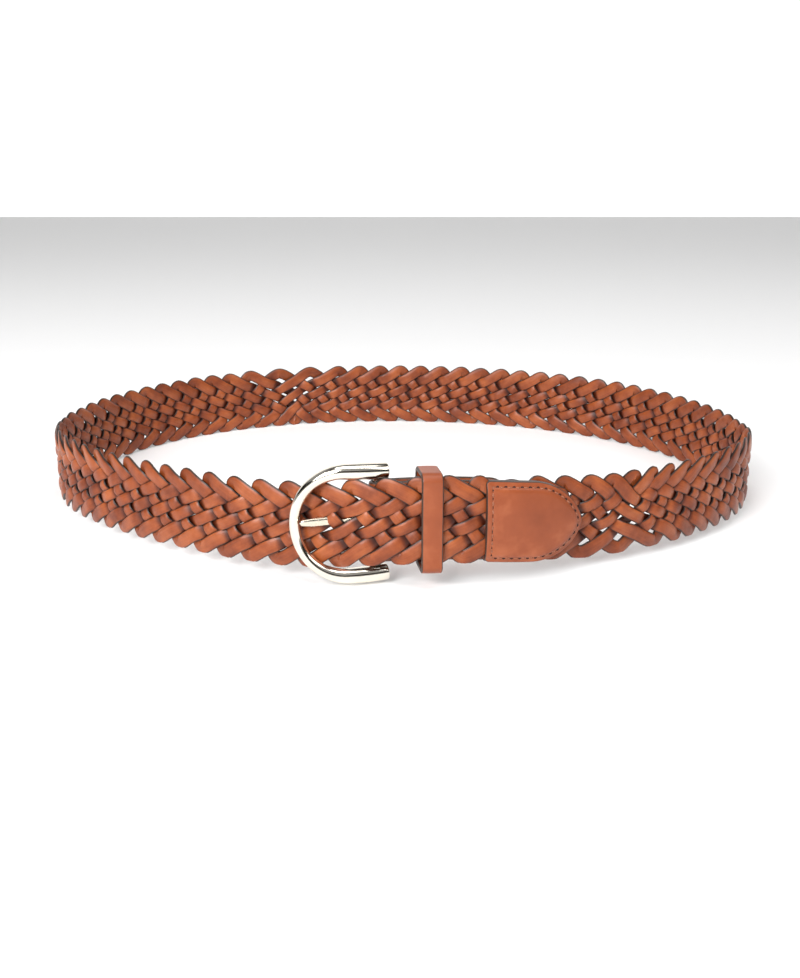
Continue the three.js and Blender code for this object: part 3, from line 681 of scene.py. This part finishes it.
CROWN_INWARD = (float(strap_inward(CROWN_ALONG)) - STRAND_THICKNESS - CROWN_RADIUS - FRAME_ROOM)


def frame_inward(along):
    share = (BAR_ALONG - along) / (BAR_ALONG - CROWN_ALONG)
    bow = FRAME_BOW * 4 * share * (1 - share)
    return mix(TAB_INWARD - ARMS_BEFORE_BAR, CROWN_INWARD, share) - bow


def bar_pin(name, radius, height, middle_up, material, nodes, sides=32):
    foot = place(BAR_ALONG, TAB_INWARD, middle_up - height / 2)
    head = place(BAR_ALONG, TAB_INWARD, middle_up + height / 2)
    rings = round_rings([foot, head], [radius, radius], sides)
    return mesh_piece(name, rings.reshape(-1, 3), tube_faces(2, sides), material,
                      nodes)


def buckle_frame():
    """Round rod bent to a half oval with two straight arms, thicker at the arms."""
    oval_start = ARM_END - ARM_STRAIGHT
    oval_reach = oval_start - CROWN_ALONG
    share = np.linspace(0, 1, 15)[:-1]
    arm_along = mix(ARM_END, oval_start, share)
    arm_up = ARM_REACH - ARM_LEAN * (1 - share) ** 1.5
    turn = math.pi / 2 + np.linspace(0, math.pi, 97)
    along = np.concatenate([arm_along, oval_start + oval_reach * np.cos(turn), arm_along[::-1]])
    up = np.concatenate([arm_up, ARM_REACH * np.sin(turn), -arm_up[::-1]])
    middles = place(along, frame_inward(along), BUCKLE_MIDDLE + up)
    radii = mix(CROWN_RADIUS, ARM_RADIUS, rise(along, CROWN_ALONG, ARM_END - ARM_STRAIGHT / 2))
    # The arms end flat, with a small round at the edge
    edge = 0.45
    turns = np.linspace(0, math.pi / 2, 6)
    for end, ahead in ((0, 1), (-1, -2)):
        way = middles[end] - middles[ahead]
        way /= np.linalg.norm(way)
        caps = [(middles[end] - way * edge * (1 - math.sin(t)), radii[end] - edge * (1 - math.cos(t)))
                for t in turns]
        extra = np.array([cap[0] for cap in caps])
        sizes = np.array([cap[1] for cap in caps])
        if end == 0:
            middles = np.concatenate([extra[::-1], middles[1:]])
            radii = np.concatenate([sizes[::-1], radii[1:]])
        else:
            middles = np.concatenate([middles[:-1], extra])
            radii = np.concatenate([radii[:-1], sizes])
    sides = 36
    rings = round_rings(middles, radii, sides)
    # Circles at the flat ends are square to the arm, not to the rounded edge
    return mesh_piece("buckle_horseshoe", rings.reshape(-1, 3), tube_faces(len(rings), sides), GOLD,
                      ["buckle_frame"], sharp=50)


def buckle_prong():
    """Flat-sided pin that rises from the bar through the braid to the crown."""
    rest = CROWN_INWARD - CROWN_RADIUS - CLEARANCE - PRONG_THICKNESS / 2 + PRONG_NOTCH
    loop_radius = BAR_RADIUS + CLEARANCE + PRONG_LOOP_WALL / 2
    start = (BAR_ALONG - 0.7 * loop_radius, TAB_INWARD - 0.7 * loop_radius)
    end = (CROWN_ALONG + CROWN_RADIUS + 0.5, rest)
    shares = np.array([0, 0.13, 0.3, 0.5, 0.62, 0.8, 1.0])
    drops = np.array([0, 0.1, 0.16, 0.22, 0.31, 0.66, 1.0])
    fine = np.linspace(0, 1, 41)
    bend = np.interp(fine, shares, drops)
    kernel = np.ones(7) / 7
    padded = np.concatenate([np.linspace(bend[0] - 0.07, bend[0], 4)[:-1], bend,
                             np.linspace(bend[-1], bend[-1] + 0.1, 4)[1:]])
    bend = np.convolve(padded, kernel, mode="valid")
    middles = place(mix(start[0], end[0], fine), mix(start[1], end[1], bend),
                    BUCKLE_MIDDLE + PRONG_RISE)
    forward = np.gradient(middles, axis=0)
    forward /= np.linalg.norm(forward, axis=1, keepdims=True)
    up = np.array([0.0, 0.0, 1.0])
    outward = np.cross(forward, up)
    outward /= np.linalg.norm(outward, axis=1, keepdims=True)
    taper = 1 - 0.28 * rise(fine, 0.8, 0.98)
    nose = np.sqrt(np.clip(1 - np.clip((fine - 0.955) / 0.045, 0, 1) ** 2, 0.02, 1))
    sides = 24
    turn = np.linspace(0, 2 * math.pi, sides, endpoint=False)
    wide = np.sign(np.cos(turn)) * np.abs(np.cos(turn)) ** 0.7
    thick = np.sign(np.sin(turn)) * np.abs(np.sin(turn)) ** 0.7
    rings = (middles[:, None]
             + up * (PRONG_WIDTH / 2 * (taper * nose)[:, None] * wide)[..., None]
             + outward[:, None] * (PRONG_THICKNESS / 2 * (taper * nose)[:, None] * thick)[..., None])
    points = rings.reshape(-1, 3)
    faces = tube_faces(len(rings), sides)
    # Ring round the bar
    ring_sides, ring_turns = 16, 40
    half_wall, half_high = PRONG_LOOP_WALL / 2, PRONG_WIDTH / 2
    centre = place(BAR_ALONG, TAB_INWARD, BUCKLE_MIDDLE + PRONG_RISE)
    section = np.linspace(0, 2 * math.pi, ring_sides, endpoint=False)
    section_in = np.sign(np.cos(section)) * np.abs(np.cos(section)) ** 0.5 * half_wall
    section_up = np.sign(np.sin(section)) * np.abs(np.sin(section)) ** 0.5 * half_high
    round_turn = np.linspace(0, 2 * math.pi, ring_turns, endpoint=False)[:, None]
    radius = loop_radius + section_in[None, :]
    loop = np.stack([centre[0] + radius * np.cos(round_turn), centre[1] + radius * np.sin(round_turn),
                     np.broadcast_to(centre[2] + section_up[None, :], radius.shape)
                     if radius.shape[0] == ring_turns else centre[2] + section_up[None, :]
                     + 0 * round_turn], axis=-1)
    faces += tube_faces(ring_turns, ring_sides, closed=True, start=len(points))
    points = np.concatenate([points, loop.reshape(-1, 3)])
    return mesh_piece("buckle_pin", points, faces, PRONG_GOLD, ["buckle_prong"], sharp=50)


buckle_frame()
bar_pin("buckle_bar", BAR_RADIUS, 2 * ARM_REACH - 2.6, BUCKLE_MIDDLE, GOLD, [])
buckle_prong()


# Leather tab round the bar

def rounded_strip(widths, thickness, edge):
    """Section of a leather strip: (across, out, darkness) with rounded edges.

    widths is the half height at each station; the list goes round once."""
    turns = np.linspace(0, math.pi, 7)
    corner_out = np.cos(turns) * thickness / 2
    corner_in = np.sin(turns) * edge
    shares = [0.96, 0.8, 0.4, 0.0, -0.4, -0.8, -0.96]
    across, out, dark = [], [], []
    for share in shares[::-1]:
        across.append(share * (widths - edge))
        out.append(thickness / 2 + 0 * widths)
        dark.append(0.0)
    for step in range(7):
        across.append(widths - edge + corner_in[step])
        out.append(corner_out[step] + 0 * widths)
        dark.append(1.0 if 0 < step < 6 else 0.5)
    for share in shares:
        across.append(share * (widths - edge))
        out.append(-thickness / 2 + 0 * widths)
        dark.append(0.0)
    for step in range(7):
        across.append(-(widths - edge + corner_in[6 - step]))
        out.append(corner_out[6 - step] + 0 * widths)
        dark.append(1.0 if 0 < step < 6 else 0.5)
    return np.stack(across, -1), np.stack(out, -1), np.array(dark)


def buckle_tab():
    """Strip folded round the bar, its two ends either side of the braid."""
    outer = TAB_CORE / 2 + CLEARANCE + TAB_THICKNESS / 2
    fold = BAR_RADIUS + CLEARANCE + TAB_THICKNESS / 2
    leg_start = BAR_ALONG + fold + TAB_THICKNESS / 2 + 4
    half_turn = math.radians(110)
    leg = np.concatenate([np.linspace(TAB_END, TAB_END - TAB_CORNER_RADIUS, 10)[:-1],
                          np.linspace(TAB_END - TAB_CORNER_RADIUS, leg_start, 12)])
    turn = math.pi + half_turn * np.linspace(1, -1, 25)
    fold_along = BAR_ALONG + fold * np.cos(turn)
    fold_in = TAB_INWARD + fold * np.sin(turn)
    ease = np.linspace(0, 1, 7)[1:-1]

    def join(a, b, a_in, b_in):
        share = ease * ease * (3 - 2 * ease)
        return mix(a, b, ease), mix(a_in, b_in, share)

    first = join(leg[-1], fold_along[0], TAB_INWARD - outer, fold_in[0])
    second = join(fold_along[-1], leg[-1], fold_in[-1], TAB_INWARD + outer)
    along = np.concatenate([leg, first[0], fold_along, second[0], leg[::-1]])
    inward = np.concatenate([np.full(len(leg), TAB_INWARD - outer), first[1], fold_in, second[1],
                             np.full(len(leg), TAB_INWARD + outer)])
    way = np.stack([np.gradient(along), np.gradient(inward)], -1)
    way /= np.linalg.norm(way, axis=1, keepdims=True)
    normal = np.stack([way[:, 1], -way[:, 0]], -1)
    past = np.clip(along - (TAB_END - TAB_CORNER_RADIUS), 0, TAB_CORNER_RADIUS)
    half = TAB_HEIGHT / 2 - TAB_CORNER_RADIUS + np.sqrt(TAB_CORNER_RADIUS**2 - past**2 + 1e-9)
    across, out, dark = rounded_strip(half, TAB_THICKNESS, 0.5)
    ring_along = along[:, None] - out * normal[:, :1]
    ring_in = inward[:, None] - out * normal[:, 1:]
    points = place(ring_along, ring_in, loop_middle(along)[:, None] + across)
    rings, sides = points.shape[:2]
    ends = rise(along, TAB_END - 0.6, TAB_END - 0.1)
    laps = np.stack(np.broadcast_arrays(np.maximum(dark[None, :], ends[:, None]),
                                        along[:, None] / 100), axis=-1)
    piece = mesh_piece("tab_leather_fold", points.reshape(-1, 3), tube_faces(rings, sides), CALF,
                       ["buckle_tab"], sharp=50, laps=laps.reshape(-1, 2))
    # Slot for the prong's ring
    loop_radius = BAR_RADIUS + CLEARANCE + PRONG_LOOP_WALL
    low = place(BAR_ALONG - 8, TAB_INWARD - 6, BUCKLE_MIDDLE + PRONG_RISE - PRONG_WIDTH / 2 - CLEARANCE)
    high = place(BAR_ALONG + loop_radius + CLEARANCE, TAB_INWARD + 6,
                 BUCKLE_MIDDLE + PRONG_RISE + PRONG_WIDTH / 2 + CLEARANCE)
    corners = [(x, y, z) for x in (low[0], high[0]) for y in (low[1], high[1]) for z in (low[2], high[2])]
    block_mesh = bpy.data.meshes.new("prong_slot")
    block_mesh.from_pydata((np.array(corners) * MM).tolist(), [], [
        (0, 1, 3, 2), (4, 6, 7, 5), (0, 4, 5, 1), (2, 3, 7, 6), (0, 2, 6, 4), (1, 5, 7, 3)])
    block = bpy.data.objects.new("prong_slot", block_mesh)
    bpy.context.scene.collection.objects.link(block)
    cut = piece.modifiers.new("slot", "BOOLEAN")
    cut.operation = "DIFFERENCE"
    cut.solver = "EXACT"
    cut.object = block
    bpy.context.view_layer.objects.active = piece
    bpy.ops.object.modifier_apply(modifier="slot")
    bpy.data.objects.remove(block)
    return piece


buckle_tab()


# Keeper

def keeper_loop():
    """Narrow leather loop round both layers, its back lying further left."""
    front = FREE_END_INWARD - STRAND_THICKNESS - KEEPER_ROOM
    back = TAB_INWARD + TAB_CORE / 2 + CLEARANCE + TAB_THICKNESS + KEEPER_ROOM
    half_up = (FREE_END_HEIGHT + KEEPER_SLACK) / 2 + CLEARANCE
    radius = KEEPER_CORNER_RADIUS - KEEPER_THICKNESS / 2
    half = KEEPER_THICKNESS / 2
    left, right, high = front - half + radius, back + half - radius, half_up + half - radius
    path, normals = [], []
    for centre, first in (((right, -high), -math.pi / 2), ((right, high), 0),
                          ((left, high), math.pi / 2), ((left, -high), math.pi)):
        for turn in first + np.linspace(0, math.pi / 2, 13):
            path.append((centre[0] + radius * math.cos(turn), centre[1] + radius * math.sin(turn)))
            normals.append((math.cos(turn), math.sin(turn)))
    path, normals = np.array(path), np.array(normals)
    # The straight walls take more stations between the corners
    full_path, full_normals = [], []
    for index in range(len(path)):
        after = (index + 1) % len(path)
        count = 10 if (index + 1) % 13 == 0 else 1
        for step in range(count):
            full_path.append(mix(path[index], path[after], step / count))
            full_normals.append(normals[index])
    path, normals = np.array(full_path), np.array(full_normals)
    across, out, dark = rounded_strip(np.full(len(path), KEEPER_WIDTH / 2), KEEPER_THICKNESS, 0.5)
    across_share = across / (KEEPER_WIDTH / 2)
    swell = np.where(out > 0, 0.12 * (1 - across_share**2), 0)
    inward = path[:, :1] + (out + swell) * normals[:, :1]
    up = path[:, 1:] + (out + swell) * normals[:, 1:]
    along = across - KEEPER_SLANT * (inward - (front - KEEPER_THICKNESS))
    middle = place(KEEPER_ALONG, 0, float(strap_middle(KEEPER_ALONG)) - KEEPER_SLACK / 2)
    heading = place(KEEPER_ALONG + 0.5, 0, 0) - place(KEEPER_ALONG - 0.5, 0, 0)
    heading /= np.linalg.norm(heading)
    inside = np.array([-heading[1], heading[0], 0])
    points = (middle + along[..., None] * heading + inward[..., None] * inside
              + up[..., None] * np.array([0.0, 0.0, 1.0]))
    rings, sides = points.shape[:2]
    walked = np.arange(rings)[:, None] / 40
    laps = np.stack(np.broadcast_arrays(dark[None, :], walked), axis=-1)
    return mesh_piece("keeper_band", points.reshape(-1, 3), tube_faces(rings, sides, closed=True), CALF,
                      ["keeper_loop"], sharp=50, laps=laps.reshape(-1, 2))


keeper_loop()


# Tip

NOSE_START = TIP_START + TIP_STRAIGHT_SHARE * TIP_LENGTH
NOSE_LENGTH = (1 - TIP_STRAIGHT_SHARE) * TIP_LENGTH


def tip_outline(inset):
    """Outline of the tip, moved in by inset, starting at the middle of the straight end."""
    corner = max(1.5 - inset, 0.12)
    left = TIP_START + inset
    half = TIP_HEIGHT / 2 - inset
    side = [(left, up) for up in np.linspace(0, half - corner, 14)[:-1]]
    bend = [(left + corner - corner * math.cos(t), half - corner + corner * math.sin(t))
            for t in np.linspace(0, math.pi / 2, 9)]
    straight = [(along, half) for along in np.linspace(left + corner, NOSE_START, 22)[1:-1]]
    turn = np.linspace(0, math.pi / 2, 45)
    nose_along = NOSE_START + NOSE_LENGTH * np.sin(turn)
    nose_up = TIP_HEIGHT / 2 * np.cos(turn) ** (2 * NOSE_FULLNESS)
    way = np.stack([np.gradient(nose_along, turn), np.gradient(nose_up, turn)], -1)
    way[0] = (1, 0)
    way[-1] = (0, -1)
    way /= np.linalg.norm(way, axis=1, keepdims=True)
    nose = np.stack([nose_along + way[:, 1] * inset, nose_up - way[:, 0] * inset], -1)
    upper = np.concatenate([side, bend, straight, nose])
    lower = upper[1:-1][::-1] * np.array([1, -1])
    return np.concatenate([upper, lower])


def tip_rows(thickness, dome):
    """Rows of (outline, from rim, out) from the inside middle over the edge to the outside."""
    seat, rim_seat = TIP_CORE / 2 + CLEARANCE, CLEARANCE / 2
    insets = [0.0, 0.05, 0.16, 0.32, 0.55, 0.9, 1.3, 1.65, 1.85, 2.0, 2.15, 2.35, 2.8]
    shrinks = [0.12, 0.3, 0.5, 0.7, 0.85, 0.96]
    base = tip_outline(insets[-1])
    spine = np.stack([np.clip(base[:, 0], TIP_START + 13, NOSE_START + 3), 0 * base[:, 1]], -1)
    flat = [(tip_outline(inset), inset) for inset in insets]
    flat += [(mix(base, spine, shrink), insets[-1] + shrink * 12) for shrink in shrinks]
    skins = {}
    for skin in ("inner", "outer"):
        rows = []
        for outline, inset in flat:
            along, up = outline[:, 0], outline[:, 1]
            from_rim = np.where(along < NOSE_START, TIP_HEIGHT / 2 - np.abs(up), inset)
            lift = rise(from_rim, 0.6, TIP_RIM_WIDTH)
            out = rim_seat + (seat - rim_seat) * lift
            if skin == "outer":
                edge = 0.5
                drop = edge * (1 - math.sqrt(1 - (1 - min(inset / edge, 1)) ** 2))
                share = np.clip(np.abs(up) / (TIP_HEIGHT / 2), 0, 1)
                swell = dome * rise(from_rim, 0.3, 9) * (1 - share**2)
                groove = 0.22 * math.exp(-((inset - STITCH_INSET) / 0.28) ** 2)
                out = out + thickness - drop + swell - groove
            rows.append((along, up, out, inset))
        skins[skin] = rows
    return skins["inner"][::-1] + skins["outer"]


def tip_points(rows, side):
    points, laps = [], []
    for along, up, out, inset in rows:
        points.append(place(along, FREE_END_INWARD + side * out, strap_middle(along) + up))
        dark = 1.0 if inset < 0.3 else 0.0
        laps.append(np.stack(np.broadcast_arrays(np.full(len(along), dark), along / 100), -1))
    return np.array(points), np.array(laps)


def tip_half(name, side, thickness, dome, node):
    points, laps = tip_points(tip_rows(thickness, dome), side)
    rings, sides = points.shape[:2]
    faces = tube_faces(rings, sides)
    if side > 0:
        faces = [tuple(reversed(face)) for face in faces]
    return mesh_piece(name, points.reshape(-1, 3), faces, CALF, [node], sharp=55,
                      laps=laps.reshape(-1, 2))


def stitch_places():
    """Even places round the seam, the straight end first."""
    line = tip_outline(STITCH_INSET)
    closed = np.concatenate([line, line[:1]])
    walked = np.concatenate([[0], np.cumsum(np.linalg.norm(np.diff(closed, axis=0), axis=1))])
    count = round(walked[-1] / STITCH_SPACING)
    at = (np.arange(count) + 0.5) * walked[-1] / count
    fine = [(np.interp(at + offset, walked, closed[:, 0], period=walked[-1]),
             np.interp(at + offset, walked, closed[:, 1], period=walked[-1]))
            for offset in np.linspace(-1, 1, 9) * (STITCH_SPACING * 0.31)]
    return np.array(fine).transpose(2, 0, 1)


def tip_surface(along, up, thickness, dome):
    from_rim = np.full_like(along, STITCH_INSET)
    from_rim = np.where(along < NOSE_START, np.maximum(TIP_HEIGHT / 2 - np.abs(up), STITCH_INSET), from_rim)
    lift = rise(from_rim, 0.6, TIP_RIM_WIDTH)
    seat, rim_seat = TIP_CORE / 2 + CLEARANCE, CLEARANCE / 2
    share = np.clip(np.abs(up) / (TIP_HEIGHT / 2), 0, 1)
    swell = dome * rise(from_rim, 0.3, 9) * (1 - share**2)
    return rim_seat + (seat - rim_seat) * lift + thickness + swell - 0.22


def tip_stitches(name, side, thickness, dome):
    """Threads that lie in the seam's groove and sink into it at both ends."""
    runs = stitch_places()
    sides = 8
    turn = np.linspace(0, 2 * math.pi, sides, endpoint=False)
    points, faces = [], []
    arch = np.sin(np.linspace(0, math.pi, runs.shape[1]))
    for run in runs:
        along, up = run[:, 0], run[:, 1]
        out = tip_surface(along, up, thickness, dome) - 0.22 + 0.4 * arch
        middles = place(along, FREE_END_INWARD + side * out, strap_middle(along) + up)
        away = place(along, FREE_END_INWARD + side * (out + 1), strap_middle(along) + up) - middles
        forward = np.gradient(middles, axis=0)
        forward /= np.linalg.norm(forward, axis=1, keepdims=True)
        across = np.cross(forward, away)
        across /= np.linalg.norm(across, axis=1, keepdims=True)
        radius = (0.3 * np.sqrt(np.clip(arch, 0.06, 1)))[:, None, None]
        ring = (middles[:, None] + radius * (across[:, None] * np.cos(turn)[None, :, None] * 1.15
                                             + away[:, None] * np.sin(turn)[None, :, None] * 0.85))
        faces += tube_faces(len(ring), sides, start=len(points) * sides)
        points.extend(ring)
    return mesh_piece(name, np.concatenate(points), faces, THREAD, [], sharp=80)


def stitch_hole_shades(name, side, thickness, dome):
    """Painted shade: dark discs standing for the shaded awl holes between the threads."""
    runs = stitch_places()
    ends = np.stack([(runs[:, -1, 0] + np.roll(runs[:, 0, 0], -1)) / 2,
                     (runs[:, -1, 1] + np.roll(runs[:, 0, 1], -1)) / 2], -1)
    sides = 12
    turn = np.linspace(0, 2 * math.pi, sides, endpoint=False)
    profile = [(0.12, -0.35), (0.5, -0.25), (0.62, -0.02), (0.5, 0.06), (0.1, 0.05)]
    points, faces = [], []
    for along, up in ends:
        start = len(points) * sides
        for radius, height in profile:
            ring_along = along + radius * np.cos(turn)
            ring_up = up + radius * np.sin(turn)
            out = tip_surface(np.full(sides, along), np.full(sides, up), thickness, dome) + height
            points.append(place(ring_along, FREE_END_INWARD + side * out,
                                strap_middle(along) + ring_up))
        faces += tube_faces(len(profile), sides, start=start)
    if side < 0:
        faces = [tuple(reversed(face)) for face in faces]
    return mesh_piece(name, np.concatenate(points), faces, HOLE_SHADE, [], sharp=80)


tip_half("tip_front_leather", -1, TIP_FRONT_THICKNESS, TIP_DOME, "tip_front")
tip_half("tip_back_leather", 1, TIP_BACK_THICKNESS, 0.0, "tip_back")
tip_stitches("tip_front_stitches", -1, TIP_FRONT_THICKNESS, TIP_DOME)
tip_stitches("tip_back_stitches", 1, TIP_BACK_THICKNESS, 0.0)
# Dark discs that paint the shade in the stitch holes
stitch_hole_shades("tip_front_hole_shade", -1, TIP_FRONT_THICKNESS, TIP_DOME)
stitch_hole_shades("tip_back_hole_shade", 1, TIP_BACK_THICKNESS, 0.0)


# Floor, lights and camera

def studio_floor():
    floor_white, _, _, shader = new_material("studio_floor")
    shader.inputs["Base Color"].default_value = (0.93, 0.93, 0.93, 1.0)
    shader.inputs["Roughness"].default_value = 0.9
    shader.inputs["Specular IOR Level"].default_value = 0.1
    wall_white, _, _, wall_shader = new_material("studio_wall")
    wall_shader.inputs["Base Color"].default_value = (0.5, 0.5, 0.5, 1.0)
    wall_shader.inputs["Emission Color"].default_value = (1.0, 1.0, 1.0, 1.0)
    wall_shader.inputs["Emission Strength"].default_value = 1.0
    mesh = bpy.data.meshes.new("studio_floor")
    # Floor that curves up into a white wall behind the belt
    side, front, wall, sweep, high = 6.0, -3.0, 3.0, 1.2, 4.0
    curve = [(wall - sweep + sweep * math.sin(t), sweep - sweep * math.cos(t))
             for t in np.linspace(0, math.pi / 2, 17)]
    profile = [(front, 0.0), *curve, (wall, high)]
    corners = [(x, y, z) for y, z in profile for x in (-side, side)]
    strips = [(2 * row, 2 * row + 1, 2 * row + 3, 2 * row + 2) for row in range(len(profile) - 1)]
    mesh.from_pydata(corners, [], strips)
    mesh.shade_smooth()
    mesh.materials.append(floor_white)
    mesh.materials.append(wall_white)
    for strip in mesh.polygons[1:]:
        strip.material_index = 1
    floor = bpy.data.objects.new("studio_floor", mesh)
    bpy.context.scene.collection.objects.link(floor)


def soft_light(name, place_at, aim, size, power, tone=(1.0, 1.0, 1.0)):
    lamp = bpy.data.lights.new(name, "AREA")
    lamp.shape = "RECTANGLE"
    lamp.size, lamp.size_y = size
    lamp.energy = power
    lamp.color = tone
    light = bpy.data.objects.new(name, lamp)
    light.location = place_at
    light.rotation_mode = "QUATERNION"
    light.rotation_quaternion = (Vector(aim) - Vector(place_at)).to_track_quat("-Z", "Y")
    bpy.context.scene.collection.objects.link(light)


def studio_world():
    world = bpy.data.worlds.new("studio")
    world.use_nodes = True
    nodes, links = world.node_tree.nodes, world.node_tree.links
    back = nodes["Background"]
    where = nodes.new("ShaderNodeTexCoord")
    split = nodes.new("ShaderNodeSeparateXYZ")
    links.new(where.outputs["Generated"], split.inputs[0])
    sky = ramp(nodes, [(0.0, (1.0, 1.0, 1.0)), (0.1, (0.9, 0.9, 0.9)), (0.15, (0.03, 0.028, 0.025)),
                       (0.38, (0.03, 0.028, 0.025)), (0.46, (0.95, 0.95, 0.95)),
                       (0.78, (0.95, 0.95, 0.95)), (0.9, (0.22, 0.2, 0.18)), (1.0, (0.15, 0.14, 0.13))])
    links.new(split.outputs["Z"], sky.inputs[0])
    links.new(sky.outputs[0], back.inputs["Color"])
    back.inputs["Strength"].default_value = 0.35
    bpy.context.scene.world = world


def photo_camera():
    camera_data = bpy.data.cameras.new("photo_camera")
    camera_data.sensor_fit = "AUTO"
    camera_data.sensor_width = 36.0
    camera_data.lens = 36.0 * 1100 / 978
    camera_data.clip_start, camera_data.clip_end = 0.01, 20.0
    camera = bpy.data.objects.new("photo_camera", camera_data)
    camera.location = (LOOP_SHIFT_X * MM, (-476.03 + LOOP_SHIFT_Y) * MM, 153.57 * MM)
    camera.rotation_euler = (math.radians(90 - 17.747), 0, 0)
    bpy.context.scene.collection.objects.link(camera)
    bpy.context.scene.camera = camera


studio_floor()
studio_world()
soft_light("key_softbox", (-0.5, -0.95, 0.6), (0, 0, 0.02), (0.6, 0.6), 16)
soft_light("fill_softbox", (0.8, -0.6, 0.9), (0, 0, 0.02), (0.7, 0.7), 4)
soft_light("top_softbox", (0, -0.35, 1.4), (0, 0, 0), (0.9, 0.9), 9)
bpy.context.scene.view_settings.view_transform = "Standard"
photo_camera()
